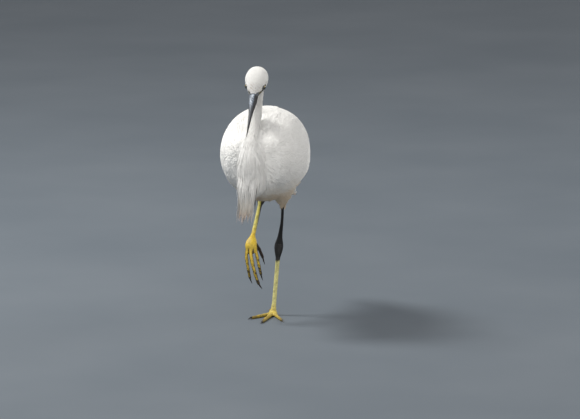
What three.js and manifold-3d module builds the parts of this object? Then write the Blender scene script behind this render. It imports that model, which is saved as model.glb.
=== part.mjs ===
// Little egret (Egretta garzetta), life size, walking slowly with the right foot lifted.
// Millimetres, +Z up. The bird faces -Y and its left side is +X.
// The origin lies on the floor, under the ball of the standing (left) foot.
// Every outline below is the outline of the plumage, not of the bare body.
import * as THREE from 'three';
import { mergeVertices } from 'three/addons/utils/BufferGeometryUtils.js';
import Module from 'manifold-3d';

const wasm = await Module();
wasm.setup();

// ---------- driving dimensions ----------
const GAP = 0.35;              // clearance between neighbouring pieces
const MIDLINE_X = -7.6;        // sagittal plane of the trunk
const EYE_MID = [-6.0, -89, 347.0];   // point between the two eyes
const HEAD_YAW = 3.4;          // degrees, head turned a little to its left
const HEAD_ROLL = 3;           // degrees, crown leaning to its left
const HEAD_PITCH = 33;         // degrees, skull axis below the horizontal
const BILL_PITCH = 36.6;       // degrees, bill axis below the horizontal
const BILL_LENGTH = 82;        // forehead feathers to tip
const BILL_WIDTH = 12.6;       // at the base
const BILL_DEPTH = 14.2;       // at the base
const EYE_RADIUS = 4.6;
const EYE_HALF_SPAN = 10.2;    // middle of the head to the centre of an eyeball
const TARSUS_RADIUS = 3.2;
const SHIN_RADIUS = 2.1;
const TOE_FLAT = 0.55;         // how far the toe pads are pressed flat on the floor
const SOLE = 2.2;              // how far the ball of the foot is cut off flat by the floor plane
const ANKLE_L = [5.4, 16, 100.5];
const THIGH_END_L = [15.2, -3, 162];
const THIGH_END_R = [-26.6, 30.5, 175];
const ANKLE_R = [-25.7, 42.4, 165.7];
const BALL_R = [-21.9, -44, 115.4];

// ---------- lofting ----------
const rad = THREE.MathUtils.degToRad;
const vec = (a) => new THREE.Vector3(...a);

function dome(t, t0, t1) {
  let k = 1;
  if (t0 > 0 && t < t0) k = Math.sqrt(Math.max(0, 1 - (1 - t / t0) ** 2));
  if (t1 > 0 && t > 1 - t1) k = Math.min(k, Math.sqrt(Math.max(0, 1 - (1 - (1 - t) / t1) ** 2)));
  return Math.max(k, 0.16);
}

function ringPlaces(steps, t0, t1) {
  const m = 3, out = [];
  const a = t0 > 0 ? m : 0, b = t1 > 0 ? m : 0, n = steps - a - b;
  for (let i = 0; i < a; i++) out.push(t0 * (1 - Math.cos((Math.PI / 2) * i / m)));
  for (let i = 0; i <= n; i++) out.push(t0 + (1 - t0 - t1) * i / n);
  for (let i = b - 1; i >= 0; i--) out.push(1 - t1 * (1 - Math.cos((Math.PI / 2) * i / m)));
  return out;
}

// A closed body along a smooth curve through `at`. Each row of `half` is the half width
// to the side, the half depth on the back and the half depth on the belly side.
// `square` above 2 fills out the shoulders of the upper half of each section.
function loft({ at, half, sides, steps, ends = [0, 0], side = [1, 0, 0], square = 2 }, grow = 0) {
  const path = new THREE.CatmullRomCurve3(at.map(vec), false, 'catmullrom', 0.5);
  const size = new THREE.CatmullRomCurve3(half.map(vec), false, 'catmullrom', 0.5);
  const places = ringPlaces(steps, ends[0], ends[1]);
  const geometry = new THREE.CylinderGeometry(1, 1, 1, sides, steps, false);
  const pos = geometry.attributes.position;
  const rings = places.map((t, i) => {
    const T = path.getTangent(t).normalize();
    const L = vec(side).addScaledVector(T, -vec(side).dot(T)).normalize();
    const D = new THREE.Vector3().crossVectors(L, T);
    const P = path.getPoint(t);
    if (i === 0) P.addScaledVector(T, -grow);
    if (i === places.length - 1) P.addScaledVector(T, grow);
    return { P, T, L, D, k: dome(t, ends[0], ends[1]), s: size.getPoint(t) };
  });
  for (let i = 0; i < pos.count; i++) {
    const ring = rings[Math.round((0.5 - pos.getY(i)) * steps)];
    let x = pos.getX(i), z = -pos.getZ(i);
    if (z > 0 && Math.hypot(x, z) > 0.5) {
      const full = Math.pow(Math.pow(Math.abs(x), square) + Math.pow(z, square), -1 / square);
      x *= full; z *= full;
    }
    const a = (ring.s.x * ring.k + grow) * x;
    const b = (z > 0 ? ring.s.y * ring.k + grow : ring.s.z * ring.k + grow) * z;
    const q = ring.P.clone().addScaledVector(ring.L, a).addScaledVector(ring.D, b);
    pos.setXYZ(i, q.x, q.y, q.z);
  }
  return geometry;
}

function solid(geometry) {
  const g = geometry.clone();
  g.deleteAttribute('normal');
  g.deleteAttribute('uv');
  const m = mergeVertices(g, 1e-4);
  return new wasm.Manifold(new wasm.Mesh({
    numProp: 3,
    vertProperties: new Float32Array(m.attributes.position.array),
    triVerts: new Uint32Array(m.index.array),
  }));
}

const body = (spec, grow = 0) => solid(loft(spec, grow));
const less = (target, ...cutters) => cutters.reduce((s, c) => s.subtract(c), target);
function largest(s) {
  return s.decompose().sort((p, q) => q.volume() - p.volume())[0];
}

function ball(centre, radius, grow = 0) {
  const g = new THREE.SphereGeometry(radius + grow, 12, 8);
  g.translate(...centre);
  return solid(g);
}

// ---------- frames of the head ----------
function headFrame(pitch) {
  const y = rad(HEAD_YAW), p = rad(pitch), w = rad(HEAD_ROLL);
  const f = new THREE.Vector3(Math.sin(y) * Math.cos(p), -Math.cos(y) * Math.cos(p), -Math.sin(p));
  const n = new THREE.Vector3(Math.sin(y) * Math.sin(p), -Math.cos(y) * Math.sin(p), Math.cos(p));
  const l = new THREE.Vector3(Math.cos(y), Math.sin(y), 0);
  return {
    f,
    n: n.clone().multiplyScalar(Math.cos(w)).addScaledVector(l, Math.sin(w)),
    l: l.clone().multiplyScalar(Math.cos(w)).addScaledVector(n, -Math.sin(w)),
  };
}
const skull = headFrame(HEAD_PITCH), beak = headFrame(BILL_PITCH);
const fromEyes = (fr, ahead, up, left = 0) => vec(EYE_MID)
  .addScaledVector(fr.f, ahead).addScaledVector(fr.n, up).addScaledVector(fr.l, left).toArray();

// ---------- head, eyes, bill ----------
// rows: distance ahead of the eyes, lift of the axis, half width, crown, throat
const HEAD_ROWS = [
  [19, -1.2, 6.0, 5.0, 5.8],
  [13, -0.8, 8.9, 8.2, 8.6],
  [5, 0, 12.4, 11.8, 11.4],
  [-4, 0.4, 14.9, 14.0, 12.8],
  [-12, 0.6, 16.3, 15.2, 13.2],
  [-20, 0.6, 16.1, 15.0, 13.0],
  [-27.5, 0, 13.8, 12.8, 11.8],
  [-33.5, -1.4, 8.8, 8.2, 8.2],
];
const HEAD = {
  at: HEAD_ROWS.map(([d, o]) => fromEyes(skull, d, o)),
  half: HEAD_ROWS.map(([, , a, b, c]) => [a, b, c]),
  side: skull.l.toArray(), sides: 20, steps: 12, ends: [0, 0.16],
};
const eyeAt = (left) => fromEyes(skull, 0.6, 0, left * EYE_HALF_SPAN);

// The two halves of the bill meet along the commissure, which runs from below the eye to the tip.
const BILL_ROWS = [       // place from the tip back to the root, width against the base
  [0, 0.05], [0.08, 0.12], [0.2, 0.2], [0.34, 0.3], [0.5, 0.46], [0.62, 0.67], [0.74, 0.88], [0.86, 0.97], [1, 1]];
const BILL_ROOT = [7, -3.4];                                      // ahead of the eyes, above them
const billAlong = (k, drop) => fromEyes(beak, BILL_ROOT[0] + (BILL_LENGTH + 8) * (1 - k), BILL_ROOT[1] - drop, -0.4);
const billRise = (k) => 0.5 + (BILL_DEPTH * 0.56 - 0.5) * Math.pow(k, 0.85);
const billFall = (k) => 0.4 + (BILL_DEPTH * 0.44 - 0.4) * Math.pow(k, 0.78);
const BILL_UPPER = {
  at: BILL_ROWS.map(([k]) => billAlong(k, 0)),
  half: BILL_ROWS.map(([k, w]) => [w * BILL_WIDTH / 2, billRise(k), 0.12]),
  side: beak.l.toArray(), sides: 12, steps: 9, ends: [0.05, 0],
};
const BILL_LOWER = {
  at: BILL_ROWS.map(([k]) => billAlong(0.03 + 0.97 * k, GAP + 0.24)),
  half: BILL_ROWS.map(([k, w]) => [w * BILL_WIDTH * 0.47, 0.12, billFall(k)]),
  side: beak.l.toArray(), sides: 12, steps: 9, ends: [0.05, 0],
};

// ---------- neck ----------
const NECK_ROWS = [       // x, y, z, half width, hind neck, fore neck
  [-6.8, -82, 345, 10.0, 13.5, 9.5],
  [-8.4, -71.5, 335.5, 10.0, 12.8, 9.8],
  [-9.7, -67, 322, 9.1, 10.0, 9.6],
  [-9.9, -69, 309, 8.9, 9.2, 9.4],
  [-9.7, -76, 297, 9.2, 9.4, 9.6],
  [-9.4, -85, 286, 9.5, 9.8, 10.2],
  [-9.0, -94, 275.9, 10.4, 11, 11.4],
  [-8.8, -103, 264.4, 13.0, 13.5, 14],
  [-8.0, -109, 250.4, 16.4, 17, 17],
  [-7.4, -112, 231.4, 19.0, 20, 18.5],
  [-7.4, -107, 213, 19.5, 20, 18.5],
  [-7.6, -95, 203, 17.5, 17, 15.5],
  [-7.6, -78, 200, 12, 12, 9],
];
const NECK = {
  at: NECK_ROWS.map((r) => r.slice(0, 3)), half: NECK_ROWS.map((r) => r.slice(3)),
  sides: 16, steps: 18, ends: [0, 0.12],
};
const NECK_CUTS = [0.38, 0.6];          // where the neck is parted, along its length

// ---------- trunk, tail, wings ----------
const TRUNK_ROWS = [      // y, z, half width, back, belly
  [-111, 235, 22, 13, 22],
  [-101, 237, 34, 25, 39],
  [-81, 239.5, 45, 40, 52],
  [-52, 240.5, 52, 58, 62],
  [-20, 237, 54, 69, 66],
  [12, 229.5, 53, 68, 61],
  [42, 219.5, 48, 60, 45],
  [70, 206.5, 38, 45, 30],
  [93, 192.5, 26, 28, 18],
  [110, 181, 15, 14, 9],
];
const TRUNK = {
  at: TRUNK_ROWS.map(([y, z]) => [MIDLINE_X, y, z]),
  half: TRUNK_ROWS.map((r) => r.slice(2)),
  sides: 24, steps: 16, ends: [0.12, 0.1], square: 2.35,
};
const TAIL = {
  at: [[MIDLINE_X, 84, 184], [MIDLINE_X, 108, 171], [MIDLINE_X, 126, 162], [MIDLINE_X, 139, 155]],
  half: [[9, 4, 4], [11, 2.6, 2.6], [12.5, 1.6, 1.6], [12, 0.8, 0.8]],
  sides: 12, steps: 5,
};
// Both folded wings are cut from one mantle that lies over the trunk. Behind the trunk it
// narrows to the wing tips, round a hollow that the tail fills.
const MANTLE_ROWS = [     // y, z, half width, back, belly
  [-108, 239, 26, 18, 26],
  [-98, 241, 39, 31, 40],
  [-79, 242.5, 50.5, 42.5, 50],
  [-50, 242.5, 58.5, 58.4, 60],
  [-20, 238.5, 61, 69.3, 64],
  [12, 230.5, 59.5, 68.6, 58],
  [42, 218.5, 54, 62.4, 45],
  [70, 204.5, 43.5, 48.4, 32],
  [94, 190, 31, 32, 22],
  [114, 176, 19.5, 19, 15],
  [132, 163.5, 10.5, 8, 8],
  [141, 157, 7, 3.5, 3.5],
];
const MANTLE = {
  at: MANTLE_ROWS.map(([y, z]) => [MIDLINE_X, y, z]),
  half: MANTLE_ROWS.map((r) => r.slice(2)),
  sides: 26, steps: 15, ends: [0.09, 0.04], square: 2.35,
};
const HOLLOW = {
  at: [[MIDLINE_X, 70, 200], [MIDLINE_X, 94, 186], [MIDLINE_X, 114, 173], [MIDLINE_X, 132, 161.5], [MIDLINE_X, 146, 152]],
  half: [[36, 34, 30], [25, 24, 22], [14.5, 14, 15], [7.2, 9, 9], [5.2, 6, 6]],
  sides: 16, steps: 5,
};
const WING_OUTLINE = [    // the folded wing seen from its side: y, z
  [-94, 289], [-103, 266], [-104, 247], [-98, 229], [-84, 212], [-60, 199], [-26, 189],
  [14, 181], [54, 170], [94, 158], [128, 149], [146, 150], [150, 166], [120, 222], [70, 300], [0, 330], [-70, 326],
];
const WING_INNER = 18;    // the wings' upper edges lie this far from the midline

// ---------- breast plumes ----------
const PLUMES = {
  at: [[-7, -116, 232], [-8.6, -124.5, 214], [-10.6, -126.5, 197], [-12.8, -123.5, 179], [-15, -119, 160]],
  half: [[15, 8, 8], [15.5, 7, 7], [13.5, 5, 5], [11, 3, 3], [7, 0.9, 0.9]],
  sides: 14, steps: 8, ends: [0, 0.05],
};

// ---------- legs ----------
const mix = (p, q, k) => p.map((v, i) => v + (q[i] - v) * k);
const THIGH_L = {
  at: [[20, -24, 222], [18.5, -18, 204], [17.2, -12, 188], [16, -7, 173], THIGH_END_L],
  half: [[22, 26, 26], [21, 26, 26], [16, 21, 21], [9.6, 11, 11], [3.3, 3.6, 3.6]],
  sides: 14, steps: 6,
};
const THIGH_R = {
  at: [[-34, -34, 216], [-31.5, -10, 202], [-29.4, 8, 190.5], [-27.6, 22, 181], THIGH_END_R],
  half: [[22, 22, 22], [20, 20, 20], [15.5, 15, 15.5], [9.4, 9.4, 9.4], [3.3, 3.6, 3.6]],
  sides: 12, steps: 6,
};
// The bare shin is thin and swells towards the ankle.
const shin = (top, mid, ankle) => ({
  at: [top, mid, mix(mid, ankle, 0.55), ankle],
  half: [[SHIN_RADIUS, SHIN_RADIUS, SHIN_RADIUS], [2.1, 2.2, 2.2], [3.3, 3.2, 3.2], [5, 4.8, 4.8]],
  sides: 8, steps: 6,
});
const SHIN_L = shin(mix(THIGH_END_L, ANKLE_L, 0.016), [12.3, 5, 137.5], ANKLE_L);
const SHIN_R = shin(mix(THIGH_END_R, ANKLE_R, 0.07), mix(THIGH_END_R, ANKLE_R, 0.4), ANKLE_R);
// The tarsus carries the ankle knob at its top and the ball of the foot at its bottom.
const tarsus = (ankle, foot, over) => ({
  at: [over, ankle, mix(ankle, foot, 0.1), mix(ankle, foot, 0.2), mix(ankle, foot, 0.5), mix(ankle, foot, 0.86), mix(ankle, foot, 0.95), foot],
  half: [[2.6, 2.6, 2.6], [6.4, 5.6, 5.6], [5.2, 4.6, 4.6], [TARSUS_RADIUS, 3.4, 3.4],
    [TARSUS_RADIUS - 0.2, 3.2, 3.2], [TARSUS_RADIUS + 0.1, 3.3, 3.3], [5.8, 4.2, 4.2], [7.4, 4.3, 4.3]],
  sides: 12, steps: 11, ends: [0.03, 0.03],
});
const TARSUS_L = tarsus(ANKLE_L, [0, 0, -SOLE], [5.9, 15.2, 107.5]);
const TARSUS_R = tarsus(ANKLE_R, BALL_R, [-25.8, 37.4, 170]);

// A toe is a chain of soft pads, each a little thicker between its joints than at them.
const PADS = 4;
function toe(points, r0, r1, side = [1, 0, 0]) {
  const n = 2 * PADS + 1, curve = new THREE.CatmullRomCurve3(points.map(vec));
  const at = [], half = [];
  for (let i = 0; i < n; i++) {
    const k = i / (n - 1);
    const r = (r0 + (r1 - r0) * k) * (i % 2 ? 1.06 : 0.95);
    at.push(curve.getPoint(k).toArray());
    half.push([r, r, r]);
  }
  return { at, half, sides: 8, steps: 7, side };
}
function claw(from, to, droop, r) {
  const mid = mix(from, to, 0.55);
  mid[0] += droop[0]; mid[1] += droop[1]; mid[2] += droop[2];
  return {
    at: [from, mid, to], half: [[r * 0.85, r, r], [r * 0.6, r * 0.7, r * 0.7], [0.35, 0.4, 0.4]],
    sides: 6, steps: 3, side: [0.9, 0.43, 0],
  };
}
// Standing foot: three toes forward, spread, and the hind toe back; the pads' middles are
// lower than their radius, so the floor plane presses a small flat on each.
const FRONT_TOES = [      // name, heading in degrees from straight ahead (+ is outward), length, radii, claw
  ['inner', -35, 42, 2.7, 2.0, 9.5],
  ['middle', -3, 58, 2.9, 2.05, 10.5],
  ['outer', 28, 49, 2.6, 1.9, 9],
];
const HIND_TOE = ['hind', 201, 27, 2.7, 2.0, 13];
function groundToe([name, heading, length, r0, r1, clawLength]) {
  const d = [Math.sin(rad(heading)), -Math.cos(rad(heading))];
  const place = (s, z) => [d[0] * s, d[1] * s, z];
  const side = [-d[1], d[0], 0];
  const spec = toe([place(1.5, r0 - TOE_FLAT + 0.5), place(length * 0.35, r0 - TOE_FLAT), place(length * 0.7, (r0 + r1) / 2 - TOE_FLAT),
    place(length, r1 - TOE_FLAT)], r0, r1, side);
  const nail = claw(place(length - 1.5, r1), place(length + clawLength - 2, 0.5), [0, 0, 0.5], r1 * 0.8);
  return { name, spec, nail };
}

// Lifted foot: the toes hang and close a little towards each other.
const HANGING_TOES = [
  ['middle', [[-22, -45, 114], [-20.8, -53, 97.8], [-16.2, -56, 78.9], [-11.8, -54.6, 62.9], [-9.4, -52.2, 55.2]], 2.9, 2.1, [-5.2, -48.6, 47.2], 1.7],
  ['inner', [[-17.4, -44.5, 113], [-12.9, -49, 95.9], [-9.6, -48.8, 80], [-7.6, -45.6, 67.6]], 2.6, 1.95, [-6.0, -41.6, 58.4], 1.55],
  ['outer', [[-26.6, -44.5, 113], [-27.9, -51.2, 96.8], [-25.8, -52.4, 81.4], [-24.0, -50.6, 68.9], [-23.2, -48.6, 62.4]], 2.5, 1.85, [-21.0, -44.6, 54], 1.5],
  ['hind', [[-19.4, -38.6, 114], [-14.6, -30, 103.4], [-10.8, -25.6, 92.6], [-9.6, -24.4, 88.6]], 2.7, 2.0, [-7.2, -21.6, 77.6], 1.6],
];

// ---------- colours ----------
const plumage = (c = 0xf4f2ec) => new THREE.MeshStandardMaterial({ color: c, roughness: 0.85, metalness: 0 });
const horn = (c) => new THREE.MeshStandardMaterial({ color: c, roughness: 0.4, metalness: 0 });
const skin = (c) => new THREE.MeshStandardMaterial({ color: c, roughness: 0.6, metalness: 0 });
const BLACK = 0x17171a, YELLOW = 0xb3a83a, SLATE = 0x4b5563;

// ---------- assembly ----------
const egret = new THREE.Group();
function add(name, manifold, material) {
  const m = largest(manifold).getMesh();
  const g = new THREE.BufferGeometry();
  g.setAttribute('position', new THREE.BufferAttribute(new Float32Array(m.vertProperties), 3));
  g.setIndex(new THREE.BufferAttribute(new Uint32Array(m.triVerts), 1));
  g.computeVertexNormals();
  const mesh = new THREE.Mesh(g, material);
  mesh.name = name;
  egret.add(mesh);
}

const eyeL = ball(eyeAt(1), EYE_RADIUS), eyeR = ball(eyeAt(-1), EYE_RADIUS);
const head = body(HEAD);
const headWide = body(HEAD, GAP);
add('head', less(head, ball(eyeAt(1), EYE_RADIUS, GAP), ball(eyeAt(-1), EYE_RADIUS, GAP)), plumage());
add('eye_left', eyeL, horn(0x101010));
add('eye_right', eyeR, horn(0x101010));
const billUpper = less(body(BILL_UPPER), headWide);
add('bill_upper', billUpper, horn(SLATE));
add('bill_lower', less(body(BILL_LOWER), headWide, body(BILL_UPPER, GAP * 0.6)), horn(0x25282e));

const trunkWide = body(TRUNK, GAP);
add('trunk', body(TRUNK), plumage());

// The neck, parted by two thin cuts square to it.
let neck = less(body(NECK), headWide, trunkWide);
{
  const path = new THREE.CatmullRomCurve3(NECK.at.map(vec), false, 'catmullrom', 0.5);
  for (const t of NECK_CUTS) {
    const slab = new THREE.BoxGeometry(60, 60, GAP);
    const T = path.getTangent(t).normalize();
    slab.applyQuaternion(new THREE.Quaternion().setFromUnitVectors(new THREE.Vector3(0, 0, 1), T));
    slab.translate(...path.getPoint(t).toArray());
    neck = neck.subtract(solid(slab));
  }
}
const lengths = neck.decompose().sort((p, q) => q.volume() - p.volume()).slice(0, 3)
  .sort((p, q) => q.boundingBox().max[2] - p.boundingBox().max[2]);
['neck_upper', 'neck_middle', 'neck_lower'].forEach((name, i) => add(name, lengths[i], plumage()));
const neckWide = body(NECK, GAP);
add('breast_plumes', less(body(PLUMES), neckWide, trunkWide), plumage(0xeee6d8));

const shell = (grow) => less(body(MANTLE, grow), ...(grow ? [] : [trunkWide, body(HOLLOW), neckWide]));
function wing(hand, grow = 0) {
  const k = 1 + grow * 0.03, points = [...WING_OUTLINE, WING_OUTLINE[0]]
    .map(([y, z]) => new THREE.Vector2(20 + (y - 20) * k, 235 + (z - 235) * k));
  const outline = new THREE.Shape(new THREE.SplineCurve(points).getPoints(26).slice(0, 26));
  const block = new THREE.ExtrudeGeometry(outline, { depth: 80, bevelEnabled: false, steps: 1 });
  block.applyMatrix4(new THREE.Matrix4().makeBasis(
    new THREE.Vector3(0, 1, 0), new THREE.Vector3(0, 0, 1), new THREE.Vector3(1, 0, 0)));
  block.translate(MIDLINE_X + (hand > 0 ? 0 : -80), 0, 0);
  const middle = new THREE.BoxGeometry(2 * (WING_INNER - grow), 190, 260);
  middle.translate(MIDLINE_X, 0, 290);
  const split = new THREE.BoxGeometry(2 * Math.max(1.6 - grow, 0.1), 400, 400);
  split.translate(MIDLINE_X, 0, 200);
  return shell(grow).intersect(solid(block)).subtract(solid(middle)).subtract(solid(split));
}
add('wing_left', wing(1), plumage());
add('wing_right', wing(-1), plumage());
const wingsWide = [wing(1, GAP), wing(-1, GAP)];
add('tail', less(body(TAIL), trunkWide, ...wingsWide), plumage());
add('thigh_left', less(body(THIGH_L), trunkWide, ...wingsWide), plumage());
add('thigh_right', less(body(THIGH_R), trunkWide, ...wingsWide), plumage());

function leg(side, shinSpec, tarsusSpec) {
  const floor = (s) => (side === 'left' ? s.trimByPlane([0, 0, 1], 0) : s);
  add(`shin_${side}`, less(body(shinSpec), body(tarsusSpec, GAP)), skin(BLACK));
  add(`tarsus_${side}`, floor(body(tarsusSpec)), skin(YELLOW));
  return floor;
}
const floorL = leg('left', SHIN_L, TARSUS_L);
const floorR = leg('right', SHIN_R, TARSUS_R);

function foot(side, toes, tarsusSpec, floor) {
  const before = [body(tarsusSpec, GAP)];
  for (const { name, spec, nail } of toes) {
    add(`toe_${side}_${name}`, floor(less(body(spec), ...before)), skin(YELLOW));
    add(`claw_${side}_${name}`, floor(less(body(nail), body(spec, GAP))), horn(BLACK));
    before.push(body(spec, GAP));
  }
}
foot('left', [FRONT_TOES[1], FRONT_TOES[0], FRONT_TOES[2], HIND_TOE].map(groundToe), TARSUS_L, floorL);
foot('right', HANGING_TOES.map(([name, points, r0, r1, tip, rc]) => {
  const end = points[points.length - 1];
  return { name, spec: toe(points, r0, r1), nail: claw(mix(end, tip, -0.12), tip, [0, -0.7, 0.3], rc) };
}), TARSUS_R, floorR);

export default egret;
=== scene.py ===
# Little egret, life size: skin, bill, eyes, claws and plumage built over the fixed frame.
# Lengths below are in millimetres until a mesh is made, which is in metres.
# The bird faces -Y, its left side is +X, and the floor is z = 0.
import math
import time
import bpy
import numpy as np
from mathutils import Vector, Matrix
from mathutils.bvhtree import BVHTree


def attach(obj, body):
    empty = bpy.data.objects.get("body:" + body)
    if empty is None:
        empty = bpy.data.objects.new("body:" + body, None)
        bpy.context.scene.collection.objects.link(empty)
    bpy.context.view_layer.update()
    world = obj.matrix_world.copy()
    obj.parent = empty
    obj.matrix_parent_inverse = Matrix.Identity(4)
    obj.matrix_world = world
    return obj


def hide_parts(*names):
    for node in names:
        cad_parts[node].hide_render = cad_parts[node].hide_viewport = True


T0 = time.time()
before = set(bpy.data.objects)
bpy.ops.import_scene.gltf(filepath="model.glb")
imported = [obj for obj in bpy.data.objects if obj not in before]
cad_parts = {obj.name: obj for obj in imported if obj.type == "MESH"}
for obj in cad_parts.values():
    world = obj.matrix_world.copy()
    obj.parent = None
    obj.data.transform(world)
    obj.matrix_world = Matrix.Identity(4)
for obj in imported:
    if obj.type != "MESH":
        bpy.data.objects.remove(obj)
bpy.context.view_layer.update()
scene = bpy.context.scene
MM = 0.001
rng = np.random.default_rng(20)


def log(*a):
    print("%.1fs" % (time.time() - T0), *a)


# ---------------------------------------------------------------- camera
AZ, EL = math.radians(12), math.radians(10)
VIEW_R = Vector((math.cos(AZ), math.sin(AZ), 0))
VIEW_BACK = Vector((math.sin(AZ) * math.cos(EL), -math.cos(AZ) * math.cos(EL), math.sin(EL)))
VIEW_U = VIEW_BACK.cross(VIEW_R)
cam_data = bpy.data.cameras.new("camera")
cam = bpy.data.objects.new("camera", cam_data)
scene.collection.objects.link(cam)
scene.camera = cam
aim = VIEW_R * 0.02465 + VIEW_U * 0.153
cam.location = aim + VIEW_BACK * 6.0
cam.rotation_mode = "QUATERNION"
cam.rotation_quaternion = Matrix((VIEW_R, VIEW_U, VIEW_BACK)).transposed().to_quaternion()
cam_data.sensor_width = 36
cam_data.lens = 256.8
cam_data.clip_start, cam_data.clip_end = 0.05, 60


# ---------------------------------------------------------------- lofts
def crom(P, t):
    P = np.asarray(P, float)
    n = len(P)
    E = np.vstack([2 * P[0] - P[1], P, 2 * P[-1] - P[-2]])
    u = np.clip(t, 0, 1) * (n - 1)
    i = np.minimum(u.astype(int), n - 2)
    w = (u - i)[:, None]
    p0, p1, p2, p3 = E[i], E[i + 1], E[i + 2], E[i + 3]
    m1, m2 = (p2 - p0) * 0.5, (p3 - p1) * 0.5
    w2, w3 = w * w, w * w * w
    pos = (2 * w3 - 3 * w2 + 1) * p1 + (w3 - 2 * w2 + w) * m1 + (3 * w2 - 2 * w3) * p2 + (w3 - w2) * m2
    der = (6 * w2 - 6 * w) * p1 + (3 * w2 - 4 * w + 1) * m1 + (6 * w - 6 * w2) * p2 + (3 * w2 - 2 * w) * m2
    return pos, der


def unit(v):
    return v / np.maximum(np.linalg.norm(v, axis=-1, keepdims=True), 1e-9)


def smooth(e0, e1, x):
    k = np.clip((np.asarray(x, float) - e0) / (e1 - e0), 0, 1)
    return k * k * (3 - 2 * k)


def dome(t, t0, t1, low=0.16):
    a = np.ones_like(t)
    b = np.ones_like(t)
    if t0 > 0:
        a = np.where(t < t0, np.sqrt(np.maximum(0, 1 - (1 - t / t0) ** 2)), 1)
    if t1 > 0:
        b = np.where(t > 1 - t1, np.sqrt(np.maximum(0, 1 - (1 - (1 - t) / t1) ** 2)), 1)
    return np.maximum(a, low), np.maximum(b, low)


def loft(at, half, side=(1, 0, 0), ends=(0, 0), square=2.0, floor=0.0):
    return dict(at=np.array(at, float), half=np.array(half, float), side=np.array(side, float), ends=ends, square=square, floor=floor)


def loft_frame(s, t):
    P, T = crom(s["at"], t)
    T = unit(T)
    side = np.broadcast_to(s["side"], T.shape)
    L = unit(side - T * (side * T).sum(1)[:, None])
    D = np.cross(L, T)
    S = crom(s["half"], t)[0]
    return P, T, L, D, S


def loft_point(s, t, th, grow=0.0):
    t, th = np.atleast_1d(t).astype(float), np.atleast_1d(th).astype(float)
    P, T, L, D, S = loft_frame(s, t)
    ka, kb = dome(t, *s["ends"], low=0.02)
    k = np.minimum(ka, kb)
    x, z = np.cos(th), np.sin(th)
    sq = s["square"]
    if sq != 2.0:
        full = np.where(z > 0, (np.abs(x) ** sq + np.abs(z) ** sq) ** (-1 / sq), 1.0)
        x, z = x * full, z * full
    P = P - T * (grow * (1 - ka))[:, None] + T * (grow * (1 - kb))[:, None]
    low = np.maximum(0.03 * S[:, 0] * k, s["floor"])
    a = np.maximum(S[:, 0] * k + grow, low) * x
    b = np.maximum(np.where(z > 0, S[:, 1], S[:, 2]) * k + grow, low) * z
    return P + L * a[:, None] + D * b[:, None]


def loft_grid(s, rings, sides, grow=0.0, t0=0.0, t1=1.0):
    """Vertices and faces of a closed loft; the last two vertices are the end points."""
    e0, e1 = s["ends"]
    t = np.linspace(0, 1, rings)
    if e0 > 0 or e1 > 0:      # more rings in the domes
        n0, n1 = (max(6, rings // 8) if e0 > 0 else 0), (max(6, rings // 8) if e1 > 0 else 0)
        t = np.concatenate([e0 * (1 - np.cos(np.linspace(0, np.pi / 2, n0, endpoint=False))) if n0 else np.zeros(0),
                            np.linspace(e0, 1 - e1, rings - n0 - n1),
                            (1 - e1 * (1 - np.cos(np.linspace(0, np.pi / 2, n1, endpoint=False))))[::-1] if n1 else np.zeros(0)])
    t = t0 + (t1 - t0) * t if (t0, t1) != (0.0, 1.0) else t
    th = np.arange(sides) * 2 * np.pi / sides
    n = len(t)
    V = loft_point(s, np.repeat(t, sides), np.tile(th, n), grow)
    c0 = V[:sides].mean(0)
    c1 = V[-sides:].mean(0)
    V = np.vstack([V, c0, c1])
    i = np.arange(n - 1)[:, None] * sides
    j = np.arange(sides)[None, :]
    k = (j + 1) % sides
    F = np.stack([i + j, i + sides + j, i + sides + k, i + k], -1).reshape(-1, 4)
    a = n * sides
    jj, kk = np.arange(sides), (np.arange(sides) + 1) % sides
    caps = np.vstack([np.stack([np.full(sides, a), jj, kk, kk], -1),
                      np.stack([np.full(sides, a + 1), (n - 1) * sides + kk, (n - 1) * sides + jj, (n - 1) * sides + jj], -1)])
    return V, F, caps[:, :3]


def mesh_of(name, V, polys, flip=False):
    """A Blender mesh from millimetre vertices and a list of index arrays (n, 3) or (n, 4)."""
    me = bpy.data.meshes.new(name)
    polys = [p for p in polys if len(p)]
    if flip:
        polys = [p[:, ::-1] for p in polys]
    loops = np.concatenate([p.ravel() for p in polys]).astype(np.int32)
    totals = np.concatenate([np.full(len(p), p.shape[1]) for p in polys]).astype(np.int32)
    starts = np.concatenate([[0], np.cumsum(totals)[:-1]]).astype(np.int32)
    me.vertices.add(len(V))
    me.vertices.foreach_set("co", (np.asarray(V) * MM).astype(np.float32).ravel())
    me.loops.add(len(loops))
    me.loops.foreach_set("vertex_index", loops)
    me.polygons.add(len(totals))
    me.polygons.foreach_set("loop_start", starts)
    me.polygons.foreach_set("loop_total", totals)
    me.update(calc_edges=True)
    me.validate()
    return me


def put(name, me):
    o = bpy.data.objects.new(name, me)
    scene.collection.objects.link(o)
    return o


def volume(me):
    me.calc_loop_triangles()
    co = np.zeros(len(me.vertices) * 3)
    me.vertices.foreach_get("co", co)
    co = co.reshape(-1, 3)
    tri = np.zeros(len(me.loop_triangles) * 3, int)
    me.loop_triangles.foreach_get("vertices", tri)
    a, b, c = (co[tri.reshape(-1, 3)[:, i]] for i in range(3))
    return float((a * np.cross(b, c)).sum() / 6)


def loft_mesh(name, s, rings, sides, grow=0.0, t0=0.0, t1=1.0):
    V, F, C = loft_grid(s, rings, sides, grow, t0, t1)
    me = mesh_of(name, V, [F, C])
    if volume(me) < 0:
        me.flip_normals()
    return me


def evaluated(o):
    dg = bpy.context.evaluated_depsgraph_get()
    dg.update()
    return bpy.data.meshes.new_from_object(o.evaluated_get(dg), depsgraph=dg)


def drop(*objs):
    for o in objs:
        me = o.data
        bpy.data.objects.remove(o)
        if me and me.users == 0:
            bpy.data.meshes.remove(me)


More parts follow.
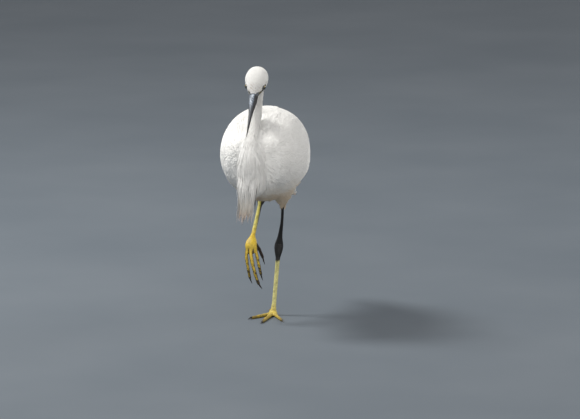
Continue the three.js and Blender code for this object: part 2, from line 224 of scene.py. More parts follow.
def triangles(me):
    me.calc_loop_triangles()
    tri = np.zeros(len(me.loop_triangles) * 3, int)
    me.loop_triangles.foreach_get("vertices", tri)
    return tri.reshape(-1, 3)


def joined(name, meshes):
    V, F, n = [], [], 0
    for me in meshes:
        V.append(coords(me))
        F.append(triangles(me) + n)
        n += len(me.vertices)
    return put(name, mesh_of(name, np.vstack(V), [np.vstack(F)]))


def voxel(name, meshes, size, smooth_steps=6, factor=0.5):
    o = joined(name + "_raw", meshes)
    m = o.modifiers.new("r", "REMESH")
    m.mode = "VOXEL"
    m.voxel_size = size * MM
    m.use_smooth_shade = True
    if smooth_steps:
        k = o.modifiers.new("s", "SMOOTH")
        k.factor, k.iterations = factor, smooth_steps
    me = evaluated(o)
    drop(o)
    return put(name, me)


def boolean(o, other, op):
    m = o.modifiers.new("b", "BOOLEAN")
    m.operation, m.object = op, other
    m.solver = "MANIFOLD"
    me = evaluated(o)
    name = o.name
    drop(o, other)
    return put(name, me)


def coords(me):
    co = np.zeros(len(me.vertices) * 3)
    me.vertices.foreach_get("co", co)
    return co.reshape(-1, 3) / MM


def normals(me):
    n = np.zeros(len(me.vertices) * 3)
    me.vertices.foreach_get("normal", n)
    return n.reshape(-1, 3)


def set_coords(me, V):
    me.vertices.foreach_set("co", (V * MM).astype(np.float32).ravel())
    me.update()


def tree(me):
    """BVH in millimetres."""
    me.calc_loop_triangles()
    tri = np.zeros(len(me.loop_triangles) * 3, int)
    me.loop_triangles.foreach_get("vertices", tri)
    return BVHTree.FromPolygons([tuple(p) for p in coords(me)], [tuple(t) for t in tri.reshape(-1, 3).tolist()])


# ---------------------------------------------------------------- the bird's own dimensions
MID = -7.6
EYE_MID = np.array([-6.0, -89, 347.0])
HEAD_YAW, HEAD_ROLL, HEAD_PITCH, BILL_PITCH = 3.4, 3, 33, 36.6
BILL_LENGTH, BILL_WIDTH, BILL_DEPTH = 82, 12.6, 14.2
EYE_RADIUS, EYE_HALF_SPAN = 4.6, 10.2


def head_frame(pitch):
    y, p, w = map(math.radians, (HEAD_YAW, pitch, HEAD_ROLL))
    f = np.array([math.sin(y) * math.cos(p), -math.cos(y) * math.cos(p), -math.sin(p)])
    n = np.array([math.sin(y) * math.sin(p), -math.cos(y) * math.sin(p), math.cos(p)])
    l = np.array([math.cos(y), math.sin(y), 0])
    return f, n * math.cos(w) + l * math.sin(w), l * math.cos(w) - n * math.sin(w)


SK = head_frame(HEAD_PITCH)
BK = head_frame(BILL_PITCH)


def from_eyes(fr, ahead, up, left=0.0):
    return EYE_MID + fr[0] * ahead + fr[1] * up + fr[2] * left


def to_head(V, fr=SK):
    d = V - EYE_MID
    return d @ fr[0], d @ fr[1], d @ fr[2]


HEAD_ROWS = [[19, -1.2, 6.0, 5.0, 5.8], [13, -0.8, 8.9, 8.2, 8.6], [5, 0, 12.4, 11.8, 11.4], [-4, 0.4, 14.9, 14.0, 12.8],
             [-12, 0.6, 16.3, 15.2, 13.2], [-20, 0.6, 16.1, 15.0, 13.0], [-27.5, 0, 13.8, 12.8, 11.8], [-33.5, -1.4, 8.8, 8.2, 8.2]]
HEAD = loft([from_eyes(SK, r[0], r[1]) for r in HEAD_ROWS], [r[2:] for r in HEAD_ROWS], side=SK[2], ends=(0, 0.16))

BILL_ROWS = [[0, 0.05], [0.08, 0.12], [0.2, 0.2], [0.34, 0.3], [0.5, 0.46], [0.62, 0.67], [0.74, 0.88], [0.86, 0.97], [1, 1]]


def bill_at(k, drop_):
    return from_eyes(BK, 7 + (BILL_LENGTH + 8) * (1 - k), -3.4 - drop_, -0.4)


def bill_rise(k):
    return 0.5 + (BILL_DEPTH * 0.56 - 0.5) * k ** 0.85


def bill_fall(k):
    return 0.4 + (BILL_DEPTH * 0.44 - 0.4) * k ** 0.78


BILL_UP = loft([bill_at(k, 0) for k, w in BILL_ROWS], [[w * BILL_WIDTH / 2, bill_rise(k), 0.14] for k, w in BILL_ROWS], side=BK[2], ends=(0.05, 0), square=1.82)
BILL_LO = loft([bill_at(0.03 + 0.97 * k, 0.30) for k, w in BILL_ROWS], [[w * BILL_WIDTH * 0.465, 0.14, bill_fall(k)] for k, w in BILL_ROWS], side=BK[2], ends=(0.05, 0))

NECK_ROWS = [[-6.8, -82, 345, 10.0, 13.5, 9.5], [-8.4, -71.5, 335.5, 10.0, 12.8, 9.8], [-9.7, -67, 322, 9.1, 10.0, 9.6],
             [-9.9, -69, 309, 8.9, 9.2, 9.4], [-9.7, -76, 297, 9.2, 9.4, 9.6], [-9.4, -85, 286, 9.5, 9.8, 10.2],
             [-9.0, -94, 275.9, 10.4, 11, 11.4], [-8.8, -103, 264.4, 13.0, 13.5, 14], [-8.0, -109, 250.4, 16.4, 17, 17],
             [-7.4, -112, 231.4, 19.0, 20, 18.5], [-7.4, -107, 213, 19.5, 20, 18.5], [-7.6, -95, 203, 17.5, 17, 15.5], [-7.6, -78, 200, 12, 12, 9]]
NECK = loft([r[:3] for r in NECK_ROWS], [r[3:] for r in NECK_ROWS], ends=(0, 0.12), floor=3.0)

TRUNK_ROWS = [[-111, 235, 22, 13, 22], [-101, 237, 34, 25, 39], [-81, 239.5, 45, 40, 52], [-52, 240.5, 52, 58, 62], [-20, 237, 54, 69, 66],
              [12, 229.5, 53, 68, 61], [42, 219.5, 48, 60, 45], [70, 206.5, 38, 45, 30], [93, 192.5, 26, 28, 18], [110, 181, 15, 14, 9]]
TRUNK = loft([[MID, r[0], r[1]] for r in TRUNK_ROWS], [r[2:] for r in TRUNK_ROWS], ends=(0.12, 0.1), square=2.35)

MANTLE_ROWS = [[-108, 239, 26, 18, 26], [-98, 241, 39, 31, 40], [-79, 242.5, 50.5, 42.5, 50], [-50, 242.5, 58.5, 58.4, 60], [-20, 238.5, 61, 69.3, 64],
               [12, 230.5, 59.5, 68.6, 58], [42, 218.5, 54, 62.4, 45], [70, 204.5, 43.5, 48.4, 32], [94, 190, 31, 32, 22], [114, 176, 19.5, 19, 15],
               [132, 163.5, 10.5, 8, 8], [141, 157, 7, 3.5, 3.5]]
MANTLE = loft([[MID, r[0], r[1]] for r in MANTLE_ROWS], [r[2:] for r in MANTLE_ROWS], ends=(0.09, 0.04), square=2.35)
WING_OUTLINE = np.array([[-94, 289], [-103, 266], [-104, 247], [-98, 229], [-84, 212], [-60, 199], [-26, 189], [14, 181], [54, 170], [94, 158],
                         [128, 149], [146, 150], [150, 166], [120, 222], [70, 300], [0, 330], [-70, 326]], float)
TAIL = loft([[MID, 84, 184], [MID, 108, 171], [MID, 126, 162], [MID, 139, 155]], [[9, 4, 4], [11, 2.6, 2.6], [12.5, 1.6, 1.6], [12, 0.8, 0.8]])
PLUMES = loft([[-7, -116, 232], [-8.6, -124.5, 214], [-10.6, -126.5, 197], [-12.8, -123.5, 179], [-15, -119, 160]],
              [[15, 8, 8], [15.5, 7, 7], [13.5, 5, 5], [11, 3, 3], [7, 0.9, 0.9]])


def mix(p, q, k):
    return np.asarray(p, float) + (np.asarray(q, float) - np.asarray(p, float)) * k


ANKLE_L, THIGH_END_L = np.array([5.4, 16, 100.5]), np.array([15.2, -3, 162])
ANKLE_R, THIGH_END_R, BALL_R = np.array([-25.7, 42.4, 165.7]), np.array([-26.6, 30.5, 175]), np.array([-21.9, -44, 115.4])
THIGH_L = loft([[20, -24, 222], [18.5, -18, 204], [17.2, -12, 188], [16, -7, 173], THIGH_END_L],
               [[22, 26, 26], [21, 26, 26], [16, 21, 21], [9.6, 11, 11], [3.3, 3.6, 3.6]], floor=2.3)
THIGH_R = loft([[-34, -34, 216], [-31.5, -10, 202], [-29.4, 8, 190.5], [-27.6, 22, 181], THIGH_END_R],
               [[22, 22, 22], [20, 20, 20], [15.5, 15, 15.5], [9.4, 9.4, 9.4], [3.3, 3.6, 3.6]], floor=2.3)


def shin(top, mid, ankle):
    return loft([top + (top - np.asarray(mid, float)) * 0.3, top, mid, mix(mid, ankle, 0.55), ankle],
                [[2.1, 2.1, 2.1], [2.1, 2.1, 2.1], [2.15, 2.25, 2.25], [3.3, 3.2, 3.2], [5, 4.8, 4.8]])


SHIN_L = shin(mix(THIGH_END_L, ANKLE_L, 0.016), [12.3, 5, 137.5], ANKLE_L)
SHIN_R = shin(mix(THIGH_END_R, ANKLE_R, 0.07), mix(THIGH_END_R, ANKLE_R, 0.4), ANKLE_R)


def tarsus(ankle, foot, over):
    return loft([over, ankle, mix(ankle, foot, 0.1), mix(ankle, foot, 0.2), mix(ankle, foot, 0.5), mix(ankle, foot, 0.86), mix(ankle, foot, 0.95), foot],
                [[2.6, 2.6, 2.6], [6.4, 5.6, 5.6], [5.2, 4.6, 4.6], [3.2, 3.4, 3.4], [3.0, 3.2, 3.2], [3.3, 3.3, 3.3], [5.8, 4.2, 4.2], [7.4, 4.3, 4.3]],
                ends=(0.03, 0.03))


TARSUS_L = tarsus(ANKLE_L, [0, 0, -1.6], [5.9, 15.2, 107.5])
TARSUS_R = tarsus(ANKLE_R, BALL_R, [-25.8, 37.4, 170])


def toe(points, r0, r1, side=(1, 0, 0), pads=4, lump=0.06):
    """A chain of pads, each a little thicker between its joints than at them."""
    n = 2 * pads + 1
    k = np.linspace(0, 1, n)
    at = crom(points, k)[0]
    r = (r0 + (r1 - r0) * k) * np.where(np.arange(n) % 2, 1 + lump, 1 - lump)
    return loft(at, np.stack([r * 0.98, r * 0.94, r * 1.04], 1), side=side)


TOE_FLAT = 0.55
GROUND_TOES = [["middle", -3, 58, 2.9, 2.05, 10.5], ["inner", -35, 42, 2.7, 2.0, 9.5], ["outer", 28, 49, 2.6, 1.9, 9], ["hind", 201, 27, 2.7, 2.0, 13]]
HANGING_TOES = [
    ["middle", [[-22, -45, 114], [-20.8, -53, 97.8], [-16.2, -56, 78.9], [-11.8, -54.6, 62.9], [-9.4, -52.2, 55.2]], 2.9, 2.1, [-5.2, -48.6, 47.2], 1.7],
    ["inner", [[-17.4, -44.5, 113], [-12.9, -49, 95.9], [-9.6, -48.8, 80], [-7.6, -45.6, 67.6]], 2.6, 1.95, [-6.0, -41.6, 58.4], 1.55],
    ["outer", [[-26.6, -44.5, 113], [-27.9, -51.2, 96.8], [-25.8, -52.4, 81.4], [-24.0, -50.6, 68.9], [-23.2, -48.6, 62.4]], 2.5, 1.85, [-21.0, -44.6, 54], 1.5],
    ["hind", [[-19.4, -38.6, 114], [-14.6, -30, 103.4], [-10.8, -25.6, 92.6], [-9.6, -24.4, 88.6]], 2.7, 2.0, [-7.2, -21.6, 77.6], 1.6],
]


def claw_spec(a, b, droop, r):
    a, b = np.asarray(a, float), np.asarray(b, float)
    m = mix(a, b, 0.55) + np.asarray(droop, float)
    return loft([a, mix(a, m, 0.5) + np.asarray(droop) * 0.3, m, b], [[r * 0.8, r, r], [r * 0.72, r * 0.9, r * 0.9], [r * 0.56, r * 0.7, r * 0.64], [0.14, 0.2, 0.2]], side=(0.9, 0.43, 0))


CLAWS, TOES = {}, {"left": {}, "right": {}}
for name, heading, length, r0, r1, cl in GROUND_TOES:
    d = np.array([math.sin(math.radians(heading)), -math.cos(math.radians(heading)), 0])
    up = np.array([0, 0, 1.0])
    pts = [d * 1.5 + up * (r0 - TOE_FLAT + 0.5), d * length * 0.35 + up * (r0 - TOE_FLAT), d * length * 0.7 + up * ((r0 + r1) / 2 - TOE_FLAT), d * length + up * (r1 - TOE_FLAT)]
    TOES["left"][name] = toe(pts, r0, r1, side=(-d[1], d[0], 0))
    CLAWS["left_" + name] = claw_spec(d * (length - 1.5) + up * r1, d * (length + cl - 2) + up * 0.5, [0, 0, 0.6], r1 * 0.8)
for name, pts, r0, r1, tip, rc in HANGING_TOES:
    TOES["right"][name] = toe(pts, r0, r1)
    CLAWS["right_" + name] = claw_spec(mix(pts[-1], tip, -0.12), tip, [0, -0.7, 0.3], rc)

# ---------------------------------------------------------------- skin
DEPTH = dict(trunk=5.0, mantle=3.4, neck=2.3, head=1.25, thigh=3.2)


def prism(points, x0, x1):
    """Closed prism along X over a polygon of (y, z)."""
    n = len(points)
    V = np.vstack([np.column_stack([np.full(n, x0), points]), np.column_stack([np.full(n, x1), points])])
    me = bpy.data.meshes.new("prism")
    me.from_pydata([tuple(v) for v in V * MM], [], [tuple(range(n))[::-1], tuple(range(n, 2 * n))] + [(i, (i + 1) % n, n + (i + 1) % n, n + i) for i in range(n)])
    if volume(me) < 0:
        me.flip_normals()
    return me


def closed_curve(P, n):
    P = np.asarray(P, float)
    m = len(P)
    u = np.linspace(0, m, n, endpoint=False)
    i = u.astype(int)
    w = (u - i)[:, None]
    p0, p1, p2, p3 = P[(i - 1) % m], P[i % m], P[(i + 1) % m], P[(i + 2) % m]
    return 0.5 * (2 * p1 + (p2 - p0) * w + (2 * p0 - 5 * p1 + 4 * p2 - p3) * w ** 2 + (3 * p1 - p0 - 3 * p2 + p3) * w ** 3)


OUTLINE = closed_curve(WING_OUTLINE, 120)
wing_solid = put("wing_solid", loft_mesh("wing_solid", MANTLE, 110, 96, -DEPTH["mantle"]))
wing_solid = boolean(wing_solid, put("cut", prism(OUTLINE[OUTLINE[:, 0] < 80], -120, 120)), "INTERSECT")
parts = [loft_mesh("a", TRUNK, 110, 96, -DEPTH["trunk"]), wing_solid.data.copy(),
         loft_mesh("b", NECK, 90, 48, -DEPTH["neck"], 0.26, 1.0),
         loft_mesh("c", THIGH_L, 40, 40, -DEPTH["thigh"]), loft_mesh("d", THIGH_R, 40, 40, -DEPTH["thigh"])]
drop(wing_solid)
body_skin = voxel("body_skin", parts, 1.9, 9)
log("body skin", len(body_skin.data.polygons))

parts = [loft_mesh("a", HEAD, 90, 72, -DEPTH["head"]), loft_mesh("b", NECK, 70, 56, -DEPTH["neck"] + 0.15, 0.0, 0.31)]
head_skin = voxel("head_skin", parts, 0.62, 14)
EYE_C = {s: from_eyes(SK, 0.6, 0, s * EYE_HALF_SPAN) for s in (1, -1)}
EYE_AX = {s: unit(SK[2] * s + SK[0] * 0.10 - SK[1] * 0.06) for s in (1, -1)}


def eye_polar(V, s):
    """Distance from the eye's axis, with the almond of the lids in it, and height along the axis."""
    d = V - EYE_C[s]
    h = d @ EYE_AX[s]
    f = unit(SK[0] - EYE_AX[s] * (SK[0] @ EYE_AX[s]))
    n = np.cross(EYE_AX[s], f) * s
    a, b = d @ f, d @ n
    return np.hypot(a / 1.08, b / 0.96), h, a, b


def commissure(a):
    return -3.4 - 0.063 * a


hv, hn = coords(head_skin.data), normals(head_skin.data)
push = np.zeros(len(hv))
ha, hu, hl = to_head(hv)
for s in (1, -1):
    r, h, ea, eb = eye_polar(hv, s)
    near = (h > 0) & (r < 12)
    push += np.where(near, 1.0 * np.exp(-((r - 4.7) / 0.6) ** 2), 0)                     # lids
    push -= np.where(near, 0.55 * np.exp(-((r - 6.4) / 0.8) ** 2), 0)                      # furrow round them
    push -= np.where(near & (r < 4.0), 1.1, 0)                                             # socket under the eyeball
    sidew = smooth(4.5, 7.5, s * hl)
    lore = smooth(3.5, 6.5, ha) * smooth(21, 16, ha) * np.exp(-((hu - (-0.6 - 0.05 * ha)) / 2.4) ** 2) * sidew
    push -= 0.75 * lore                                                                    # hollow of the lores
    gape = smooth(-4, 0, ha) * smooth(24, 18, ha) * np.exp(-((hu - commissure(ha)) / 0.42) ** 2) * sidew
    push -= 0.55 * gape                                                                    # corner of the mouth
    rim = smooth(-4, 1, ha) * smooth(24, 18, ha) * np.exp(-((hu - commissure(ha) + 1.2) / 0.6) ** 2) * sidew
    push += 0.22 * rim
    push += 0.5 * np.exp(-((hu - 5.6) / 1.4) ** 2 - ((ha - 1.5) / 5) ** 2) * sidew         # brow
set_coords(head_skin.data, hv + hn * push[:, None])
log("head skin", len(head_skin.data.polygons))


def palm(side):
    """The soft web where the tarsus runs out into the toes."""
    if side == "right":
        up = unit(ANKLE_R - BALL_R)
        at = [BALL_R + up * 17, BALL_R + up * 9, BALL_R + up * 2.5, BALL_R + np.array([0, -3.4, -4.0]), BALL_R + np.array([0.4, -5.8, -11.5]), BALL_R + np.array([0.8, -7.0, -17.0])]
        return [loft(at, [[2.9, 2.7, 2.7], [4.6, 3.5, 3.5], [7.0, 4.2, 4.2], [8.5, 3.9, 3.9], [7.6, 2.7, 2.7], [4.6, 1.4, 1.4]], ends=(0, 0.05))]
    at = [[0.4, 2.6, 15], [0.2, 1.6, 8], [0, 0.2, 3.6], [0, -4, 2.9], [-0.5, -9, 2.2], [-0.6, -13, 1.9]]
    return [loft(at, [[3.0, 3.0, 3.0], [3.9, 3.8, 3.8], [6.2, 3.9, 3.9], [6.9, 2.9, 2.9], [6.6, 2.0, 2.0], [4.4, 1.2, 1.2]], ends=(0, 0.05))]


def hock(side):
    """Rounds the joint over the ends of the shin and the tarsus."""
    ankle, over, foot_ = (ANKLE_L, np.array([12.3, 5, 137.5]), np.array([0, 0, -1.6])) if side == "left" else (ANKLE_R, THIGH_END_R, BALL_R)
    far = 1.0 if side == "left" else 1.6
    at = [mix(ankle, over, 0.62 * far), mix(ankle, over, 0.40 * far), mix(ankle, over, 0.22 * far), mix(ankle, over, 0.08 * far), mix(ankle, foot_, 0.03), mix(ankle, foot_, 0.10),
          mix(ankle, foot_, 0.19)]
    return loft(at, [[2.2, 2.2, 2.2], [3.3, 3.2, 3.2], [4.6, 4.3, 4.3], [5.9, 5.2, 5.2], [6.5, 5.7, 5.7], [5.4, 4.8, 4.8], [3.0, 3.1, 3.1]], ends=(0.04, 0.04))


def leg_skin(side, shin_s, tarsus_s, toes):
    parts = [loft_mesh("a", shin_s, 60, 28, 0), loft_mesh("b", tarsus_s, 120, 32, 0)]
    parts += [loft_mesh("p", s, 60, 28, 0) for s in palm(side) + [hock(side)]]
    parts += [loft_mesh("t", s, 80, 24, 0) for s in toes.values()]
    return voxel("leg_" + side, parts, 0.5, 8)


legs = {"left": leg_skin("left", SHIN_L, TARSUS_L, TOES["left"]), "right": leg_skin("right", SHIN_R, TARSUS_R, TOES["right"])}


def axes_of(side):
    """Sampled axes of a leg's parts: position, frame, distance along and part number."""
    rows = []
    lofts = [(0, SHIN_L if side == "left" else SHIN_R), (1, TARSUS_L if side == "left" else TARSUS_R)]
    lofts += [(2 + i, s) for i, s in enumerate(TOES[side].values())]
    for part, s in lofts:
        t = np.linspace(0, 1, 90)
        P, T, L, D, S = loft_frame(s, t)
        along = np.concatenate([[0], np.cumsum(np.linalg.norm(np.diff(P, axis=0), axis=1))])
        rows.append((P, L, D, S[:, 0], along, np.full(90, part)))
    return [np.concatenate([r[i] for r in rows]) for i in range(6)]


def leg_coords(V, side):
    """For each vertex: part, distance along its axis, offsets across it along the frame's two side directions, radius
    there.
    """
    P, L, D, R, along, part = axes_of(side)
    best = np.zeros(len(V), int)
    for i in range(0, len(V), 4000):
        d = np.linalg.norm(V[i:i + 4000, None] - P[None], axis=2) - R[None] * 0.9
        best[i:i + 4000] = d.argmin(1)
    d = V - P[best]
    x, y = (d * L[best]).sum(1), (d * D[best]).sum(1)
    return part[best], along[best], x, y, R[best]


LEG = {}
for side, o in legs.items():
    V, N = coords(o.data), normals(o.data)
    part, along, x, y, R = leg_coords(V, side)
    P, L, D, Rr, al, pt = axes_of(side)
    # On a leg and on a hanging toe D points backward, so the scaled front is -D; on a standing toe D is its top.
    is_toe = part >= 2
    ang = np.arctan2(x, np.where(is_toe & (side == "left"), y, -y))
    facing = smooth(1.5, 0.8, np.abs(ang))
    pitch = np.where(is_toe, 1.75, 2.45)
    ph = (along / pitch + np.where(is_toe, 0, 0.15 * np.sin(ang * 2))) % 1.0
    groove = np.exp(-((ph - 0.5) / 0.13) ** 2)
    push = -0.2 * groove * facing * np.where(part == 0, 0.25, 1)
    under = smooth(1.9, 2.5, np.abs(ang)) * is_toe
    push += 0.1 * under * (np.sin(along * 3.6) * 0.5)
    push += 0.05 * np.sin(V @ np.array([2.3, 3.1, 1.7])) * np.sin(V @ np.array([-1.9, 2.2, 2.9]))
    V = V + N * push[:, None]
    if side == "left":
        V[:, 2] = np.maximum(V[:, 2], 0.0)
    set_coords(o.data, V)
log("legs", [len(o.data.polygons) for o in legs.values()])

skin = body_skin
for other in (head_skin, legs["left"], legs["right"]):
    skin = boolean(skin, other, "UNION")
skin.name = "skin"
log("skin", len(skin.data.polygons), "volume cm3 %.1f" % (volume(skin.data) * 1e6))
SKIN_TREE = tree(skin.data)


# ---------------------------------------------------------------- colours, as markings shared by skin and coat
WHITE = np.array([0.90, 0.895, 0.875])
WARM = np.array([0.80, 0.70, 0.55])
BUFF = np.array([0.80, 0.55, 0.405])
TAN = np.array([0.62, 0.46, 0.30])
DIRT = np.array([0.55, 0.47, 0.40])


def noise3(V, scale, seed=0):
    """Cheap smooth noise from a few sines, -1 to 1."""
    r = np.random.default_rng(1000 + seed)
    out = np.zeros(len(V))
    for i in range(5):
        k = r.normal(size=3)
        k = k / np.linalg.norm(k) * (1 + 0.6 * i) / scale
        out += np.sin(V @ k * 2 * np.pi + r.uniform(0, 6.28)) / (1 + 0.5 * i)
    return out / 2.6


def plumage_colour(V):
    """White, warmer low on the belly, between the legs and under the tail; the warmth and the tan low on the belly are
    partly stain and partly painted shade.
    """
    c = np.tile(WHITE, (len(V), 1))
    # painted shade: the warm tint and the tan low on the belly stand partly for stained feathers and partly for the
    # shade and warm bounce under the body
    low = smooth(222, 178, V[:, 2] + 7 * noise3(V, 46, 1)) * smooth(-128, -90, V[:, 1]) * smooth(95, 30, V[:, 1])
    c += (WARM - WHITE) * (0.78 * low)[:, None]
    tan_stain_and_shade = smooth(210, 178, V[:, 2] + 10 * noise3(V, 30, 11)) * smooth(-92, -72, V[:, 1]) * smooth(50, -5, V[:, 1]) * smooth(54, 36, np.abs(V[:, 0] + 7.6))
    c += (TAN - c) * (0.72 * tan_stain_and_shade)[:, None]
    rear = smooth(95, 135, V[:, 1]) * 0.34
    c += (WARM - WHITE) * rear[:, None]
    chest = smooth(235, 190, V[:, 2]) * smooth(-95, -112, V[:, 1]) * 0.3
    c += (WARM - WHITE) * chest[:, None]
    a, u, l = to_head(V)
    brow = np.exp(-((a - 11.5) / 5.5) ** 2) * smooth(1.5, 4, u) * smooth(0.16, 0.42, noise3(V, 3.1, 3))
    c += (DIRT - WHITE) * (0.55 * np.clip(brow, 0, 1))[:, None]
    c *= (1 + 0.02 * noise3(V, 17, 2))[:, None]
    return c


# ---------------------------------------------------------------- materials
def material(name, rough, **sockets):
    m = bpy.data.materials.new(name)
    m.use_nodes = True
    nt = m.node_tree
    b = nt.nodes["Principled BSDF"]
    b.inputs["Roughness"].default_value = rough
    for k, v in sockets.items():
        b.inputs[k.replace("_", " ")].default_value = v
    return m, nt, b


def node(nt, kind, **props):
    n = nt.nodes.new(kind)
    for k, v in props.items():
        setattr(n, k, v)
    return n


def link(nt, a, b):
    nt.links.new(a, b)


def maths(nt, op, a, b=None, clamp=False):
    n = node(nt, "ShaderNodeMath", operation=op, use_clamp=clamp)
    for i, v in enumerate((a, b)):
        if v is None:
            continue
        if isinstance(v, (int, float)):
            n.inputs[i].default_value = v
        else:
            link(nt, v, n.inputs[i])
    return n.outputs[0]


def ramp(nt, fac, stops):
    n = node(nt, "ShaderNodeValToRGB")
    e = n.color_ramp.elements
    while len(e) < len(stops):
        e.new(0.5)
    for el, (p, c) in zip(e, stops):
        el.position = p
        el.color = (*c, 1) if len(c) == 3 else c
    link(nt, fac, n.inputs[0])
    return n.outputs[0]


def mixc(nt, fac, a, b, mode="MIX"):
    n = node(nt, "ShaderNodeMix", data_type="RGBA", blend_type=mode)
    for sock, v in ((n.inputs[0], fac), (n.inputs[6], a), (n.inputs[7], b)):
        if isinstance(v, (int, float)):
            sock.default_value = v
        elif isinstance(v, tuple):
            sock.default_value = (*v, 1)
        else:
            link(nt, v, sock)
    return n.outputs[2]


def noise(nt, vec, scale, detail=3.0, rough=0.5):
    n = node(nt, "ShaderNodeTexNoise")
    n.inputs["Scale"].default_value = scale
    n.inputs["Detail"].default_value = detail
    n.inputs["Roughness"].default_value = rough
    link(nt, vec, n.inputs["Vector"])
    return n.outputs["Fac"]


def bump(nt, bsdf, height, strength, distance):
    n = node(nt, "ShaderNodeBump")
    n.inputs["Strength"].default_value = strength
    n.inputs["Distance"].default_value = distance
    link(nt, height, n.inputs["Height"])
    link(nt, n.outputs[0], bsdf.inputs["Normal"])


def attribute(nt, name):
    return node(nt, "ShaderNodeAttribute", attribute_type="GEOMETRY", attribute_name=name)


SOFT_LIGHT = 0.3


def feather_material(name, barbs):
    m, nt, b = material(name, 0.85)
    b.inputs["Specular IOR Level"].default_value = 0.0
    b.inputs["Subsurface Weight"].default_value = SOFT_LIGHT
    b.inputs["Subsurface Radius"].default_value = (1.0, 0.95, 0.9)
    b.inputs["Subsurface Scale"].default_value = 0.0015
    col = attribute(nt, "Col").outputs["Color"]
    obj = node(nt, "ShaderNodeTexCoord").outputs["Object"]
    blotch = ramp(nt, noise(nt, obj, 160, 3), [(0.3, (0.955, 0.955, 0.955)), (0.7, (1, 1, 1))])
    base = mixc(nt, 1.0, col, blotch, "MULTIPLY")
    if barbs:
        v = attribute(nt, "vane").outputs["Vector"]
        sep = node(nt, "ShaderNodeSeparateXYZ")
        link(nt, v, sep.inputs[0])
        across = maths(nt, "ABSOLUTE", sep.outputs[0])
        run = maths(nt, "SUBTRACT", sep.outputs[1], maths(nt, "MULTIPLY", across, 1.15))     # barbs slant to the tip
        w = maths(nt, "SINE", maths(nt, "MULTIPLY", run, 11.0))
        wob = noise(nt, v, 0.9, 3)
        lines = maths(nt, "ADD", maths(nt, "MULTIPLY", w, 0.5), maths(nt, "MULTIPLY", wob, 1.2))
        shaft = maths(nt, "LESS_THAN", across, 0.32)
        shade = ramp(nt, lines, [(0.0, (0.92, 0.915, 0.905)), (0.75, (1, 1, 1))])
        base = mixc(nt, 1.0, base, shade, "MULTIPLY")
        base = mixc(nt, maths(nt, "MULTIPLY", shaft, 0.35), base, (0.86, 0.83, 0.76))
        bump(nt, b, lines, 0.22, 0.0002)
    link(nt, base, b.inputs["Base Color"])
    return m


MAT_TUFT = feather_material("plumage_soft", False)
MAT_VANE = feather_material("plumage_vanes", True)


# The skin has three grounds: under the feathers, the bare lores and lids, and the scaled legs.
def skin_under():
    m, nt, b = material("skin_feathered", 0.85)
    obj = node(nt, "ShaderNodeTexCoord").outputs["Object"]
    col = attribute(nt, "Col").outputs["Color"]
    n = noise(nt, obj, 900, 4)
    link(nt, mixc(nt, 1.0, col, ramp(nt, n, [(0.3, (0.9, 0.9, 0.9)), (0.7, (1, 1, 1))]), "MULTIPLY"), b.inputs["Base Color"])
    bump(nt, b, n, 0.5, 0.0004)
    return m


def skin_bare():
    m, nt, b = material("skin_lores", 0.5)
    b.inputs["Specular IOR Level"].default_value = 0.4
    obj = node(nt, "ShaderNodeTexCoord").outputs["Object"]
    col = attribute(nt, "Col").outputs["Color"]
    pores = node(nt, "ShaderNodeTexVoronoi")
    pores.inputs["Scale"].default_value = 1500
    link(nt, obj, pores.inputs["Vector"])
    n = noise(nt, obj, 500, 4)
    link(nt, mixc(nt, 1.0, col, ramp(nt, n, [(0.3, (0.72, 0.72, 0.7)), (0.7, (1, 1, 1))]), "MULTIPLY"), b.inputs["Base Color"])
    bump(nt, b, maths(nt, "ADD", pores.outputs["Distance"], n), 0.45, 0.00025)
    return m


def skin_leg():
    m, nt, b = material("skin_legs", 0.46)
    b.inputs["Specular IOR Level"].default_value = 0.34
    b.inputs["Coat Weight"].default_value = 0.06
    b.inputs["Coat Roughness"].default_value = 0.25
    col = attribute(nt, "Col").outputs["Color"]
    leg = attribute(nt, "leg").outputs["Vector"]       # x: millimetres along, y: arc round, z: 1 on plates, 0 on small scales
    sep = node(nt, "ShaderNodeSeparateXYZ")
    link(nt, leg, sep.inputs[0])
    comb = node(nt, "ShaderNodeCombineXYZ")
    link(nt, sep.outputs[0], comb.inputs[0])
    link(nt, sep.outputs[1], comb.inputs[1])
    vor = node(nt, "ShaderNodeTexVoronoi", feature="DISTANCE_TO_EDGE")
    vor.inputs["Scale"].default_value = 0.95
    link(nt, comb.outputs[0], vor.inputs["Vector"])
    small = maths(nt, "MULTIPLY", vor.outputs["Distance"], 4.0, True)
    obj = node(nt, "ShaderNodeTexCoord").outputs["Object"]
    n = noise(nt, obj, 700, 4)
    scale = mixc(nt, sep.outputs[2], small, (1, 1, 1))
    dark = ramp(nt, scale, [(0.0, (0.45, 0.42, 0.36)), (0.35, (1, 1, 1))])
    base = mixc(nt, 1.0, col, dark, "MULTIPLY")
    base = mixc(nt, 1.0, base, ramp(nt, n, [(0.3, (0.8, 0.8, 0.78)), (0.65, (1.0, 1.0, 1.0))]), "MULTIPLY")
    link(nt, base, b.inputs["Base Color"])
    h = maths(nt, "ADD", scale, maths(nt, "MULTIPLY", n, 0.25))
    bump(nt, b, h, 0.6, 0.00025)
    rough = ramp(nt, n, [(0.3, (0.36, 0.36, 0.36)), (0.7, (0.5, 0.5, 0.5))])
    link(nt, rough, b.inputs["Roughness"])
    return m


for m in (skin_under(), skin_bare(), skin_leg()):
    skin.data.materials.append(m)

me = skin.data
V, N = coords(me), normals(me)
col = plumage_colour(V) * 0.96
legattr = np.zeros((len(V), 3))
kind = np.zeros(len(V), int)
a_, u_, l_ = to_head(V)


def lore_mask(a, u, l):
    """1 on the bare skin between the bill and the eye, and round the eye."""
    s = np.abs(l)
    top = 1.4 + 1.9 * smooth(8, 18, a)
    low = commissure(a) - 0.9
    m = smooth(0.5, 2.2, a) * smooth(top + 0.8, top - 0.5, u) * smooth(low - 0.5, low + 0.3, u) * smooth(2.6, 4.2, s)
    return m


